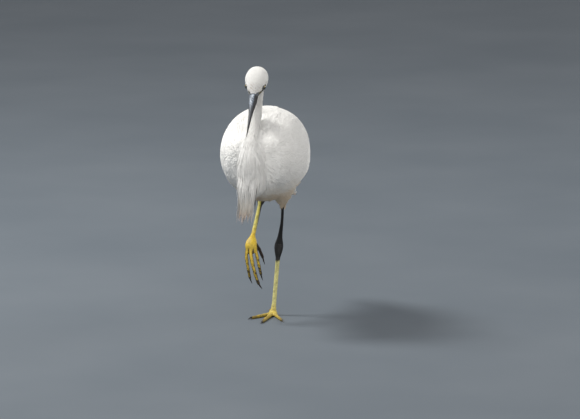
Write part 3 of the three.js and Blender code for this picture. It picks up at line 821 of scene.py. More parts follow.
bare = lore_mask(a_, u_, l_)
for s in (1, -1):
    r, h, ea, eb = eye_polar(V, s)
    bare = np.maximum(bare, np.where(h > 0, smooth(6.1, 5.4, r), 0))
bare *= smooth(-9, -7, a_)
bare = np.maximum(bare, smooth(17.2, 18.8, a_ + 0.04 * l_ ** 2) * (np.abs(u_) < 9) * (np.abs(l_) < 12))      # under the bill's root
OLIVE = np.array([0.26, 0.215, 0.060])
SLATE = np.array([0.115, 0.125, 0.130])
LID = np.array([0.016, 0.016, 0.016])
w = smooth(7, 15, a_)[:, None]
lore_col = OLIVE * (1 - w) + SLATE * w
# painted shade: the bare skin just ahead of the eye goes near black, partly dark skin, partly the shade under the brow
w = (smooth(10.5, 7.5, a_ + 0.8 * u_) * smooth(-4.2, -2.8, u_))[:, None] * 0.96
lore_col = lore_col * (1 - w) + LID * w
lore_col = lore_col * (1 + 0.25 * noise3(V, 2.0, 9))[:, None]
# painted shade: the lids near black, partly dark skin, partly the shade of the brow over the eye
for s in (1, -1):
    r, h, ea, eb = eye_polar(V, s)
    k = np.where(h > 0, smooth(5.6, 5.0, r), 0)[:, None]
    lore_col = lore_col * (1 - k) + LID * k
w = (smooth(15.5, 17.5, a_) * smooth(-0.5, 0.6, u_))[:, None]       # the bill's root under the forehead's edge
lore_col = lore_col * (1 - w) + np.array([0.085, 0.100, 0.122]) * w
mouth = (np.exp(-((u_ - commissure(a_)) / 0.5) ** 2) * smooth(-5, -1, a_) * smooth(4, 6, np.abs(l_)))[:, None]
lore_col = lore_col * (1 - 0.7 * mouth)
kb = smooth(0.12, 0.8, bare)[:, None]
near_head = ((np.abs(a_) < 45) & (np.abs(u_) < 30) & (np.abs(l_) < 25))
col = np.where((near_head[:, None]) & (kb > 0), col * (1 - kb) + lore_col * kb, col)
kind[near_head & (bare > 0.3)] = 1

BLACK = np.array([0.0045, 0.0045, 0.005])
PALE = np.array([0.62, 0.585, 0.235])        # standing leg, below the hock
GOLD = np.array([0.54, 0.38, 0.032])       # lifted foot
BROWN = np.array([0.022, 0.013, 0.007])
V_ALL = V
for side in ("left", "right"):
    zone = (V_ALL[:, 2] < 181) & (V_ALL[:, 0] * (1 if side == "left" else -1) > (-60 if side == "left" else 2))
    if side == "left":
        zone &= (V_ALL[:, 0] > -8) | (V_ALL[:, 2] < 30)
    zone = np.nonzero(zone)[0]
    V = V_ALL[zone]
    part, along, x, y, R = leg_coords(V, side)
    P, L, D, Rr, al, pt = axes_of(side)
    d = np.hypot(x, y)
    inside = (d < R + 3.0) & (V[:, 2] < (163 if side == "left" else 177))
    # only what is near this leg's own axes
    step = np.full(len(V), 1e9)
    for i in range(0, len(V), 4000):
        step[i:i + 4000] = np.linalg.norm(V[i:i + 4000, None] - P[None], axis=2).min(1)
    on = inside & (step < R + 1.6)
    on |= (V[:, 2] < 24) if side == "left" else (V[:, 2] < 124) & (V[:, 2] > 40) & (V[:, 1] < -12)
    if side == "right":
        on &= ~((V[:, 2] > 168) & (V[:, 1] < 26))
    is_toe = part >= 2
    ang = np.arctan2(x, np.where(is_toe & (side == "left"), y, -y))
    nz = noise3(V, 7, 5)
    fine = noise3(V, 2.2, 6)
    black = np.zeros(len(V))
    if side == "left":
        black = smooth(77.0, 81.5, V[:, 2] + 1.2 * nz + 2.0 * np.cos(ang))
        ground = np.tile(PALE, (len(V), 1)) * (1 + 0.10 * nz)[:, None]
        tl = np.where(is_toe, smooth(4, 40, along), 0)[:, None]
        ground = ground * (1 - tl) + GOLD * 1.05 * tl
        foot = smooth(22, 2, V[:, 2])[:, None] * 0.8
        ground = ground * (1 - foot) + GOLD * foot
    else:
        # black down the back and the inner side, the black narrowing downwards; the front is yellow-green
        edge = 0.42 + 0.75 * smooth(12, 72, along)
        back = smooth(edge - 0.10, edge + 0.16, np.where(ang > 0, ang, -ang * 0.55) + 0.10 * nz)
        black = np.where(part == 0, 1.0, np.where(part == 1, back * smooth(84, 62, along + 4 * nz), 0.0))
        black = np.where(part == 1, np.maximum(black, smooth(13, 5, along)), black)
        ground = np.tile(np.array([0.50, 0.45, 0.105]), (len(V), 1)) * (1 + 0.12 * nz)[:, None]
        tl = np.where(is_toe, 1.0, smooth(70, 95, along))[:, None]
        ground = ground * (1 - tl) + GOLD * 1.1 * tl
    toelen = np.array([0, 0] + [float(np.linalg.norm(np.diff(s["at"], axis=0), axis=1).sum()) for s in TOES[side].values()])
    rel = along / np.maximum(toelen[part], 1)
    tips = np.where(is_toe, smooth(0.66, 1.0, rel + 0.16 * nz + 0.10 * fine), 0)
    spots = np.where(is_toe, smooth(0.10, 0.34, fine + 0.5 * nz + 0.9 * (rel - 0.62)), 0) * smooth(0.15, 0.45, rel)
    # dark down the sides of the toes: partly dark skin, partly painted shade between the toes
    sides = np.where(is_toe, smooth(0.68, 1.02, np.abs(ang - 0.15) + 0.12 * fine), 0) * smooth(0.06, 0.22, rel) * (0.95 if side == "right" else 0.3)
    # painted shade: the hind toe is darkened because it hangs back out of the light
    hallux_shade = ((part == 5) & is_toe) * smooth(0.05, 0.25, rel + 0.06 * fine) * (1.0 if side == "right" else 0.2)
    dark = np.clip(0.92 * tips + 0.85 * spots + sides + hallux_shade, 0, 1) * (1.0 if side == "right" else 0.7)
    ground = ground * (1 - dark[:, None]) + BROWN * dark[:, None]
    pitch = np.where(is_toe, 1.75, 2.45)
    ph = (along / pitch + np.where(is_toe, 0, 0.15 * np.sin(ang * 2))) % 1.0
    groove = np.exp(-((ph - 0.5) / 0.14) ** 2) * smooth(1.5, 0.8, np.abs(ang))
    ground *= (1 - 0.34 * groove)[:, None]
    ground *= (1 + 0.10 * fine)[:, None]
    black = np.clip(black, 0, 1)[:, None]
    c = ground * (1 - black) + BLACK * (1 + 0.5 * fine[:, None]) * black
    col[zone[on]] = c[on]
    kind[zone[on]] = 2
    legattr[zone[on]] = np.column_stack([along, ang * np.maximum(R, 1), smooth(1.5, 0.9, np.abs(ang))])[on]
V = V_ALL


def colour_attr(me, col):
    at = me.color_attributes.new("Col", "FLOAT_COLOR", "POINT")
    at.data.foreach_set("color", np.column_stack([np.clip(col, 0, 1), np.ones(len(col))]).astype(np.float32).ravel())
    me.color_attributes.active_color = at


def vector_attr(me, name, arr):
    at = me.attributes.new(name, "FLOAT_VECTOR", "POINT")
    at.data.foreach_set("vector", np.asarray(arr, np.float32).ravel())


def face_materials(me, kind):
    idx = np.zeros(len(me.loops), int)
    me.loops.foreach_get("vertex_index", idx)
    st = np.zeros(len(me.polygons), int)
    me.polygons.foreach_get("loop_start", st)
    me.polygons.foreach_set("material_index", kind[idx[st]].astype(np.int32))


colour_attr(me, col)
vector_attr(me, "leg", legattr)
face_materials(me, kind)
me.polygons.foreach_set("use_smooth", np.ones(len(me.polygons), bool))
me.update()
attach(skin, "root")
FLESH = ["head", "trunk", "neck_upper", "neck_middle", "neck_lower", "wing_left", "wing_right", "thigh_left", "thigh_right",
         "shin_left", "shin_right", "tarsus_left", "tarsus_right"] + ["toe_%s_%s" % (s, t) for s in ("left", "right") for t in ("middle", "inner", "outer", "hind")]
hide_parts(*FLESH)
log("skin coloured")


# ---------------------------------------------------------------- bill
def bill_piece(name, spec, node_name, upper):
    V, F, C = loft_grid(spec, 150, 72)
    rings = (len(V) - 2) // 72
    a, u, l = to_head(V, BK)
    k = 1 - (a - 7) / (BILL_LENGTH + 8)             # 1 at the root, 0 at the tip
    s = np.sign(l)
    if upper:
        rise = bill_rise(np.clip(k, 0, 1))
        hgt = (u + 3.4) / rise                      # 0 at the cutting edge, 1 on the ridge
        groove = np.exp(-((hgt - 0.52) / 0.13) ** 2) * smooth(0.36, 0.6, k)
        slit = np.exp(-((hgt - 0.50) / 0.085) ** 2) * smooth(0.735, 0.75, k) * smooth(0.845, 0.83, k)
        inward = -s[:, None] * BK[2][None]
        V = V + inward * (0.42 * groove * k + 1.25 * slit)[:, None]
        edge = smooth(0.16, 0.0, hgt) * smooth(0.02, 0.3, k)
        V = V - inward * (0.12 * edge)[:, None]
    else:
        fall = bill_fall(np.clip(k, 0, 1))
        hgt = (-3.7 - u) / fall
        groove = np.exp(-((hgt - 0.55) / 0.16) ** 2) * smooth(0.3, 0.7, k)
        V = V + (-s[:, None] * BK[2][None]) * (0.25 * groove)[:, None]
        slit = np.zeros(len(V))
    me = mesh_of(name, V, [F, C])
    if volume(me) < 0:
        me.flip_normals()
    me.polygons.foreach_set("use_smooth", np.ones(len(me.polygons), bool))
    # slate blue with pale flecks at the root, black towards the tip; painted light: the slate and the flecks lie only
    # on the ridge and the bill's right side, which face the lamp, and the left side is black as painted shade
    nz = noise3(V, 5.5, 21)
    nf = noise3(V, 1.9, 22)
    blue = np.array([0.118, 0.140, 0.172])
    grey = np.array([0.066, 0.070, 0.078])
    pale = np.array([0.50, 0.56, 0.63])
    black = np.array([0.008, 0.009, 0.011])
    if upper:
        turn = l / np.maximum(6.3 * np.clip(k, 0.1, 1), 0.6)              # -1 at its right edge, 1 at its left
        # painted light: lit is 1 on the ridge and the bill's right side and 0 on its shaded left side; the pale flecks
        # are partly mottling and partly painted highlight
        lit = smooth(0.50, 0.12, turn + 0.12 * nz - 0.35 * smooth(0.80, 1.0, k)) * smooth(0.10, 0.45, hgt + 0.08 * nz)
        amount = lit * smooth(0.14, 0.34, k + 0.04 * nz)
        tone = smooth(0.46, 0.74, k + 0.06 * nz)[:, None]
        c = black * (1 - amount[:, None]) + (grey * (1 - tone) + blue * tone) * amount[:, None]
        fleck_and_glint = smooth(0.10, 0.55, nf + 0.6 * nz) * smooth(0.60, 0.80, k + 0.05 * nz) * smooth(0.30, 0.6, hgt) * lit
        fleck_and_glint = np.clip(fleck_and_glint * 0.85, 0, 1)
        c = c * (1 - fleck_and_glint[:, None]) + pale * fleck_and_glint[:, None]
        # painted shade in the nostril slit
        c = c * (1 - 0.9 * slit[:, None])
    else:
        root = smooth(0.72, 1.0, k + 0.05 * nz)
        c = black * (1 - 0.5 * root[:, None]) + blue * 0.5 * root[:, None]
        c = c * (1 + 0.2 * nf[:, None])
    colour_attr(me, c)
    o = put(name, me)
    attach(o, "root")
    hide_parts(node_name)
    return o


def horn_material(name, rough, scale_vec, coat=0.15):
    m, nt, b = material(name, rough)
    b.inputs["Specular IOR Level"].default_value = 0.3
    b.inputs["Coat Weight"].default_value = coat
    b.inputs["Coat Roughness"].default_value = 0.3
    col = attribute(nt, "Col").outputs["Color"]
    obj = node(nt, "ShaderNodeTexCoord").outputs["Object"]
    mp = node(nt, "ShaderNodeMapping")
    mp.inputs["Rotation"].default_value = (math.radians(-BILL_PITCH), 0, math.radians(HEAD_YAW))
    mp.inputs["Scale"].default_value = scale_vec
    link(nt, obj, mp.inputs["Vector"])
    n = noise(nt, mp.outputs[0], 1.0, 5, 0.6)
    fine = noise(nt, obj, 2200, 2)
    base = mixc(nt, 1.0, col, ramp(nt, n, [(0.3, (0.74, 0.76, 0.8)), (0.7, (1, 1, 1))]), "MULTIPLY")
    link(nt, base, b.inputs["Base Color"])
    link(nt, ramp(nt, n, [(0.3, (rough + 0.1,) * 3), (0.7, (rough - 0.06,) * 3)]), b.inputs["Roughness"])
    bump(nt, b, maths(nt, "ADD", n, maths(nt, "MULTIPLY", fine, 0.3)), 0.25, 0.0003)
    return m


MAT_BILL = horn_material("bill_horn", 0.52, (900, 90, 900), 0.04)
bill_u = bill_piece("bill_upper_horn", BILL_UP, "bill_upper", True)
bill_l = bill_piece("bill_lower_horn", BILL_LO, "bill_lower", False)
for o in (bill_u, bill_l):
    o.data.materials.append(MAT_BILL)


# ---------------------------------------------------------------- eyes
def eye(side, s):
    ax = EYE_AX[s]
    f = unit(SK[0] - ax * (SK[0] @ ax))
    n = np.cross(ax, f)
    rings, sides = 56, 72
    th = np.linspace(0, np.pi, rings)[1:-1]
    ph = np.arange(sides) * 2 * np.pi / sides
    TH, PH = np.repeat(th, sides), np.tile(ph, len(th))
    r = np.full(len(TH), EYE_RADIUS)
    bulge = smooth(0.85, 0.45, TH)
    r = r + 0.15 * bulge                                              # cornea
    V = EYE_C[s] + ax * (r * np.cos(TH))[:, None] + (f[None] * np.cos(PH)[:, None] + n[None] * np.sin(PH)[:, None]) * (r * np.sin(TH))[:, None]
    V = np.vstack([V, EYE_C[s] + ax * (EYE_RADIUS + 0.15), EYE_C[s] - ax * EYE_RADIUS])
    m = len(th)
    i = np.arange(m - 1)[:, None] * sides
    j = np.arange(sides)[None]
    k = (j + 1) % sides
    F = np.stack([i + j, i + sides + j, i + sides + k, i + k], -1).reshape(-1, 4)
    jj, kk = np.arange(sides), (np.arange(sides) + 1) % sides
    C = np.vstack([np.stack([np.full(sides, m * sides), jj, kk], -1), np.stack([np.full(sides, m * sides + 1), (m - 1) * sides + kk, (m - 1) * sides + jj], -1)])
    me = mesh_of("eye", V, [F, C])
    if volume(me) < 0:
        me.flip_normals()
    me.polygons.foreach_set("use_smooth", np.ones(len(me.polygons), bool))
    d = V - EYE_C[s]
    ang = np.arccos(np.clip(unit(d) @ ax, -1, 1))
    az = np.arctan2(d @ n, d @ f)
    x = ang / 0.86                                                     # 1 at the edge of the iris
    iris = np.array([0.62, 0.50, 0.13])
    inner = np.array([0.70, 0.52, 0.09])
    c = np.tile(iris, (len(V), 1)) * (0.86 + 0.10 * np.sin(az * 40 + 3 * np.sin(az * 7)) + 0.06 * np.sin(az * 91))[:, None]
    w = smooth(0.90, 0.70, x)[:, None]
    c = c * (1 - w) + inner * w
    # seen from ahead the ring lies in the shade of the lid
    front = smooth(0.15, 0.72, np.cos(az))[:, None] * 0.95
    c = c * (1 - front)
    pupil = smooth(0.70, 0.66, x)[:, None]
    c = c * (1 - pupil) + np.array([0.004, 0.004, 0.005]) * pupil
    limb = smooth(0.86, 0.94, x)[:, None]
    c = c * (1 - limb) + np.array([0.010, 0.010, 0.010]) * limb
    colour_attr(me, c)
    o = put("eyeball_" + side, me)
    m_, nt, b = material("eye_" + side, 0.06)
    b.inputs["Coat Weight"].default_value = 1.0
    b.inputs["Coat Roughness"].default_value = 0.02
    link(nt, attribute(nt, "Col").outputs["Color"], b.inputs["Base Color"])
    me.materials.append(m_)
    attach(o, "root")
    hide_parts("eye_" + side)
    return o


eye("left", 1)
eye("right", -1)

# ---------------------------------------------------------------- claws
MAT_CLAW = horn_material("claw_horn", 0.3, (500, 500, 500), 0.25)
for name, spec in CLAWS.items():
    me = loft_mesh("claw", spec, 40, 20)
    V = coords(me)
    if name.startswith("left"):
        V[:, 2] = np.maximum(V[:, 2], 0.0)
        set_coords(me, V)
    me.polygons.foreach_set("use_smooth", np.ones(len(me.polygons), bool))
    al = (V - spec["at"][0]) @ unit(spec["at"][-1] - spec["at"][0])
    k = smooth(0, 1, al / np.linalg.norm(spec["at"][-1] - spec["at"][0]))[:, None]
    c = np.array([0.030, 0.022, 0.016]) * (1 - k) + np.array([0.010, 0.009, 0.009]) * k
    colour_attr(me, c)
    me.materials.append(MAT_CLAW)
    o = put("nail_" + name, me)
    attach(o, "root")
    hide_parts("claw_" + name)
log("bill, eyes, claws")


# ---------------------------------------------------------------- plumage
class Coat:
    """One joined mesh of many closed blades."""

    def __init__(self, name, blend=0.5):
        self.blend = blend
        self.name, self.V, self.F, self.C, self.UV, self.NRM, self.VN, self.n = name, [], [], [], [], [], [], 0

    def add(self, C, S, U, hw, th, col, uv, profile, gn=None, vane=None, roundness=0.55):
        """C, S, U (N, K, 3): centre line, side and up at each station; hw, th (N, K); col (N, K, 3); uv (N, K, 2)
        profile (M, 2): the section, as (across, up). The last station is the tip."""
        N, K = hw.shape
        prof = np.asarray(profile, float)
        M = len(prof)
        ring = C[:, :-1, None] + S[:, :-1, None] * (hw[:, :-1, None] * prof[:, 0])[..., None] + U[:, :-1, None] * (th[:, :-1, None] * prof[:, 1])[..., None]
        V = np.concatenate([ring.reshape(N, (K - 1) * M, 3), C[:, -1:]], 1)
        per = V.shape[1]
        q = []
        for i in range(K - 2):
            for j in range(M):
                k = (j + 1) % M
                if prof[j][0] < prof[k][0]:
                    q += [[i * M + j, i * M + k, (i + 1) * M + j], [i * M + k, (i + 1) * M + k, (i + 1) * M + j]]
                else:
                    q += [[i * M + j, i * M + k, (i + 1) * M + k], [i * M + j, (i + 1) * M + k, (i + 1) * M + j]]
        for j in range(M):
            q.append([(K - 2) * M + j, (K - 2) * M + (j + 1) % M, per - 1])
        for j in range(1, M - 1):
            q.append([0, j + 1, j])
        q = np.array(q)[:, ::-1]
        F = q[None] + (np.arange(N) * per)[:, None, None] + self.n
        self.V.append(V.reshape(-1, 3))
        self.F.append(F.reshape(-1, 3))
        c = np.concatenate([np.repeat(col[:, :-1], M, 1), col[:, -1:]], 1)
        self.C.append(c.reshape(-1, 3))
        spread = prof[:, 0] * 0.00022
        u = np.concatenate([(uv[:, :-1, None, :] + np.stack([spread, spread * 0.6 + prof[:, 1] * 0.00008], -1)).reshape(N, -1, 2), uv[:, -1:]], 1)
        self.UV.append(u.reshape(-1, 2))
        if gn is None:
            gn = U
        rn = gn[:, :-1, None] + S[:, :-1, None] * (prof[:, 0] * roundness)[..., None]
        nr = np.concatenate([rn.reshape(N, -1, 3), gn[:, -1:]], 1)
        self.NRM.append(unit(nr).reshape(-1, 3))
        if vane is None:
            vn = np.zeros((N, per, 3))
        else:       # millimetres across, along
            ax = hw[:, :-1, None] * prof[:, 0]
            al = np.broadcast_to(vane[:, :-1, None], ax.shape)
            vn = np.concatenate([np.stack([ax, al, ax * 0], -1).reshape(N, -1, 3), np.stack([vane[:, -1:] * 0, vane[:, -1:], vane[:, -1:] * 0], -1)], 1)
        self.VN.append(vn.reshape(-1, 3))
        self.n += N * per

    def make(self, mat, replaces=()):
        V = np.concatenate(self.V)
        F = np.concatenate(self.F)
        me = bpy.data.meshes.new(self.name)
        me.vertices.add(len(V))
        me.vertices.foreach_set("co", (V * MM).astype(np.float32).ravel())
        me.loops.add(len(F) * 3)
        me.loops.foreach_set("vertex_index", F.astype(np.int32).ravel())
        me.polygons.add(len(F))
        me.polygons.foreach_set("loop_start", (np.arange(len(F)) * 3).astype(np.int32))
        me.polygons.foreach_set("loop_total", np.full(len(F), 3, np.int32))
        me.polygons.foreach_set("use_smooth", np.ones(len(F), bool))
        me.update(calc_edges=True)
        colour_attr(me, np.concatenate(self.C))
        vector_attr(me, "vane", np.concatenate(self.VN))
        uv = me.uv_layers.new(name="OFBake")
        u = np.clip(np.concatenate(self.UV), 0.0005, 0.9995)
        uv.data.foreach_set("uv", u[F.ravel()].astype(np.float32).ravel())
        # corner normals: mostly the body's, but never turned away from their own face
        nr = np.concatenate(self.NRM)
        fn = unit(np.cross(V[F[:, 1]] - V[F[:, 0]], V[F[:, 2]] - V[F[:, 0]]))
        own = np.stack([np.bincount(F.ravel(), np.repeat(fn[:, i], 3), len(V)) for i in range(3)], 1)
        c = unit(nr * self.blend + unit(own) * (1 - self.blend))[F]
        dot = (c * fn[:, None]).sum(-1, keepdims=True)
        c = unit(c + fn[:, None] * np.maximum(0, 0.45 - dot))
        at = me.attributes.new("custom_normal", "FLOAT_VECTOR", "CORNER")
        at.data.foreach_set("vector", c.astype(np.float32).ravel())
        me.update()
        me.materials.append(mat)
        o = put(self.name, me)
        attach(o, "root")
        if replaces:
            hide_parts(*replaces)
        log(self.name, "%d triangles" % len(F), "volume %.2f" % (volume(me) * 1e6))
        return o


BLADE = [(-1, 0), (1, 0), (0, 1)]
VANE = [(-1, 0), (-0.5, -0.25), (0, -0.9), (0.5, -0.25), (1, 0), (0.52, 0.55), (0, 1), (-0.52, 0.55)]


ROOTS = []          # every tuft's root, so that gaps can be found


def march(roots, dirs, lengths, K, guide, field=None, pull=0.35):
    """Walks from each root over the guide surface. Returns points, normals, directions, each (N, K, 3)."""
    N = len(roots)
    P, NN, DD = np.zeros((N, K, 3)), np.zeros((N, K, 3)), np.zeros((N, K, 3))
    p, d = roots.copy(), unit(dirs)
    step = lengths / (K - 1)
    prev = None
    for k in range(K):
        if k:
            p = p + d * step[:, None]
        q, n = np.zeros_like(p), np.zeros_like(p)
        for i in range(N):
            loc, nor, idx, dist = guide.find_nearest(Vector(p[i]))
            q[i] = loc
            n[i] = nor
        if prev is not None:
            off = ((n * prev).sum(1) < 0.45) | (np.linalg.norm(q - p, axis=1) > np.maximum(3.0, step))
            q[off], n[off] = p[off], prev[off]
            n = unit(n * 0.65 + prev * 0.35)
        if field is not None and k:
            d = unit(d * (1 - pull) + field(q) * pull)
        d = unit(d - n * (d * n).sum(1)[:, None])
        P[:, k], NN[:, k], DD[:, k] = q, n, d
        p, prev = q, n
    return P, NN, DD


def sample(A, s):
    """A (N, K, 3) at places s (N, B, J) in 0..1 along K."""
    N, K = A.shape[:2]
    u = np.clip(s, 0, 1) * (K - 1)
    i = np.minimum(u.astype(int), K - 2)
    w = (u - i)[..., None]
    r = np.arange(N)[:, None, None]
    out = A[r, i] * (1 - w) + A[r, i + 1] * w
    over = np.maximum(s - 1, 0)[..., None]
    return out + (A[:, -1] - A[:, -2])[:, None, None] * over * (K - 1)


def tufts(coat, roots, dirs, L, W, uv, guide, h0, h1, B=5, J=4, K=4, bw=1.0, thick=0.35, fan=0.3, ragged=0.25, wave=0.08,
          field=None, pull=0.35, colour=None, tip_tint=None, jitter=0.03, soft=True, lift=None, power=0.45, roundness=0.42, note=True):
    """Each root grows a small feather of B blades that spread from its shaft."""
    N = len(roots)
    if note:
        ROOTS.append((roots, dirs, L * np.ones(N), W * np.ones(N), bw * np.ones(N), uv, np.full(N, h1)))
    P, NN, DD = march(roots, dirs, L, K, guide, field, pull)
    beta = np.linspace(-1, 1, B)[None] + rng.normal(0, 0.10, (N, B)) if B > 1 else np.zeros((N, 1))
    ell = 1 - 0.20 * beta ** 2 + rng.normal(0, ragged * 0.35, (N, B))
    s = np.linspace(0, 1, J)[None, None] * ell[..., None]
    C = sample(P, s)
    Nn = unit(sample(NN, s))
    Dd = unit(sample(DD, s))
    Ss = unit(np.cross(Dd, Nn))
    sc = np.clip(s, 0, 1.15)
    h = h0 + (h1 - h0) * sc ** power
    h = h + rng.normal(0, 0.07, (N, 1, 1)) * (0.4 + sc) + (rng.normal(0, 0.045, (N, B, 1)) + 0.04 * np.cos(beta * 3)[..., None]) * sc
    if lift is not None:
        h = h + lift[:, None, None] * sc ** 2
    lat = W[:, None, None] * beta[..., None] * (fan + (1 - fan) * sc ** 0.75)
    lat = lat + (rng.normal(0, wave, (N, B, 1)) * L[:, None, None] * 0.5) * sc ** 2 + rng.normal(0, wave * 0.5, (N, 1, 1)) * L[:, None, None] * sc ** 2
    h = h - lat ** 2 / 140.0
    C = C + Ss * lat[..., None] + Nn * h[..., None]
    # side vectors turn with the blade
    D2 = np.zeros_like(C)
    D2[:, :, :-1] = C[:, :, 1:] - C[:, :, :-1]
    D2[:, :, -1] = D2[:, :, -2]
    D2 = unit(D2)
    S2 = unit(np.cross(D2, Nn))
    U2 = np.cross(S2, D2)
    q = np.linspace(0, 1, J)[None, None]
    hw = bw[:, None, None] * (0.62 + 0.38 * np.sin(np.pi * np.clip(q * 1.05 + 0.08, 0, 1))) * (1 + rng.normal(0, 0.12, (N, B, 1))) * np.where(q > 0.7, 0.78, 1)
    th = thick * hw
    base = (plumage_colour(roots) if colour is None else colour)[:, None, None] * (1 + rng.normal(0, jitter, (N, 1, 1, 1)) + rng.normal(0, jitter * 0.6, (N, B, 1, 1)))
    col = np.broadcast_to(base, (N, B, J, 3)).copy()
    col *= (0.93 + 0.07 * np.clip(q * 1.6, 0, 1))[..., None]                     # painted shade: a little darker towards the root, where the feathers above cover it
    if tip_tint is not None:
        tint, amount = tip_tint
        a = (amount[:, None, None] * (q ** 2.2))[..., None]
        col = col * (1 - a) + tint * a
    u0 = np.stack([np.broadcast_to((beta * 0.0011)[..., None], (N, B, J)), np.broadcast_to((q - 0.5) * 0.0024, (N, B, J))], -1) + uv[:, None, None]
    R = lambda A: A.reshape((N * B, J) + A.shape[3:])
    coat.add(R(C), R(S2), R(U2), hw.reshape(N * B, J), th.reshape(N * B, J), R(col), R(u0), BLADE, gn=R(Nn) if soft else None, roundness=roundness)


def eased(A, times=2):
    """Runs a short smoothing kernel along the stations."""
    for _ in range(times):
        B = A.copy()
        B[:, 1:-1] = A[:, :-2] * 0.25 + A[:, 1:-1] * 0.5 + A[:, 2:] * 0.25
        A = B
    return A


def vanes(coat, roots, dirs, L, W, uv, guide, h0, h1, J=14, K=9, thick=0.2, roll=0.0, point=0.0, tip=0.3, field=None, pull=0.25, colour=None,
          tip_tint=None, notch=0.5, wave=0.02, power=1.0, lift=None, bend=0.0):
    """Broad feathers with a shaft, one closed blade each, with frayed edges."""
    N = len(roots)
    P, NN, DD = march(roots, dirs, L, K, guide, field, pull)
    P, NN, DD = eased(P, 1), unit(eased(NN, 3)), unit(eased(DD, 2))
    q = np.linspace(0, 1, J)[None]
    qq = 1 - (1 - q) ** 1.5
    s = np.broadcast_to(qq[:, None], (N, 1, J))
    C, Nn, Dd = (sample(A, s)[:, 0] for A in (P, NN, DD))
    Nn, Dd = unit(Nn), unit(Dd)
    h = h0 + (h1 - h0) * qq ** power + rng.normal(0, 0.07, (N, 1))
    if lift is not None:
        h = h + lift[:, None] * qq ** 2
    lat = (rng.normal(0, wave, (N, 1)) + bend) * L[:, None] * qq ** 2
    Ss = unit(np.cross(Dd, Nn))
    C = C + Nn * h[..., None] + Ss * lat[..., None]
    D2 = unit(np.gradient(C, axis=1))
    S2 = unit(np.cross(D2, Nn))
    U2 = np.cross(S2, D2)
    ro = np.broadcast_to(np.asarray(roll, float).reshape(-1, 1), (N, 1)) + rng.normal(0, 0.015, (N, 1))
    S3 = S2 * np.cos(ro)[..., None] + U2 * np.sin(ro)[..., None]
    U3 = U2 * np.cos(ro)[..., None] - S2 * np.sin(ro)[..., None]
    hw = W[:, None] * (0.28 + 0.72 * smooth(0, 0.35, qq)) * (1 - point * qq ** 1.6)
    x = np.clip((qq - (1 - tip)) / tip, 0, 1)
    end = np.clip(1 - x ** 2.1, 0, 1) ** 0.62
    hw = hw * np.maximum(end, 0.02)
    hw = hw * (1 - notch * 0.16 * np.clip(rng.normal(0, 1, (N, J)), 0, 2) * smooth(0.25, 0.6, qq))
    th = np.maximum(thick * (1.3 - 0.7 * qq), 0.08) * np.ones((N, 1))
    base = (plumage_colour(roots) if colour is None else colour)[:, None] * (1 + rng.normal(0, 0.012, (N, 1, 1)))
    col = np.broadcast_to(base, (N, J, 3)).copy()
    if tip_tint is not None:
        tint, amount = tip_tint
        a = (amount[:, None] * (qq ** 3))[..., None]
        col = col * (1 - a) + tint * a
    u0 = np.stack([np.zeros((N, J)), np.broadcast_to((q - 0.5) * 0.0024, (N, J))], -1) + uv[:, None]
    coat.add(C, S3, U3, hw, th, col, u0, VANE, gn=Nn, vane=L[:, None] * qq, roundness=0.22)


def rings(s, spacing, grow, t0=0.0, t1=1.0, jitter=0.3, spacing_fn=None, squeeze=0.87):
    """Roots over a loft, staggered: t, angle."""
    t = np.linspace(t0, t1, 800)
    P = loft_frame(s, t)[0]
    arc = np.concatenate([[0], np.cumsum(np.linalg.norm(np.diff(P, axis=0), axis=1))])
    T, A = [], []
    pos, odd = arc[-1] * 0 + spacing * 0.3, 0
    th = np.linspace(0, 2 * np.pi, 121)
    while pos < arc[-1]:
        tt = float(np.interp(pos, arc, t))
        sp = spacing if spacing_fn is None else spacing_fn(tt)
        R = loft_point(s, np.full(121, tt), th, grow)
        run = np.concatenate([[0], np.cumsum(np.linalg.norm(np.diff(R, axis=0), axis=1))])
        n = max(3, int(round(run[-1] / sp)))
        where = (np.arange(n) + 0.5 * (odd % 2) + rng.uniform(-jitter, jitter, n)) / n * run[-1]
        A.append(np.interp(where % run[-1], run, th))
        T.append(np.clip(np.full(n, tt) + rng.uniform(-jitter, jitter, n) * sp / arc[-1] * (t1 - t0), 0.0005, 0.9995))
        pos += sp * squeeze
        odd += 1
    return np.concatenate(T), np.concatenate(A)


def loft_flow(s, t, th, grow):
    e = 0.004
    return unit(loft_point(s, np.minimum(t + e, 1), th, grow) - loft_point(s, np.maximum(t - e, 0), th, grow))


def loft_normal(s, t, th, grow):
    e = 0.01
    a = loft_point(s, t, th + e, grow) - loft_point(s, t, th - e, grow)
    b = loft_flow(s, t, th, grow)
    n = unit(np.cross(a, b))
    c = loft_frame(s, t)[0]
    out = loft_point(s, t, th, grow) - c
    sign = np.sign((n * out).sum(1))
    return n * np.where(sign == 0, 1, sign)[:, None]


def on_skin(P, N, tol=1.9, facing=0.35):
    keep = np.zeros(len(P), bool)
    Q, M = P.copy(), N.copy()
    for i in range(len(P)):
        loc, nor, idx, dist = SKIN_TREE.find_nearest(Vector(P[i]))
        if dist < tol and np.dot(nor, N[i]) > facing:
            keep[i] = True
            Q[i], M[i] = loc, nor
    return keep, Q, M


def tile(t, th, box):
    u0, v0, u1, v1 = box
    return np.stack([u0 + (u1 - u0) * ((th / (2 * np.pi)) % 1.0), v0 + (v1 - v0) * t], 1)


TILES = dict(head=(0.01, 0.80, 0.30, 0.99), neck=(0.32, 0.80, 0.62, 0.99), plumes=(0.64, 0.80, 0.80, 0.99), thigh_l=(0.82, 0.80, 0.90, 0.99),
             thigh_r=(0.91, 0.80, 0.99, 0.99), trunk=(0.01, 0.41, 0.99, 0.78), mantle=(0.01, 0.01, 0.80, 0.39), tail=(0.82, 0.01, 0.99, 0.39))

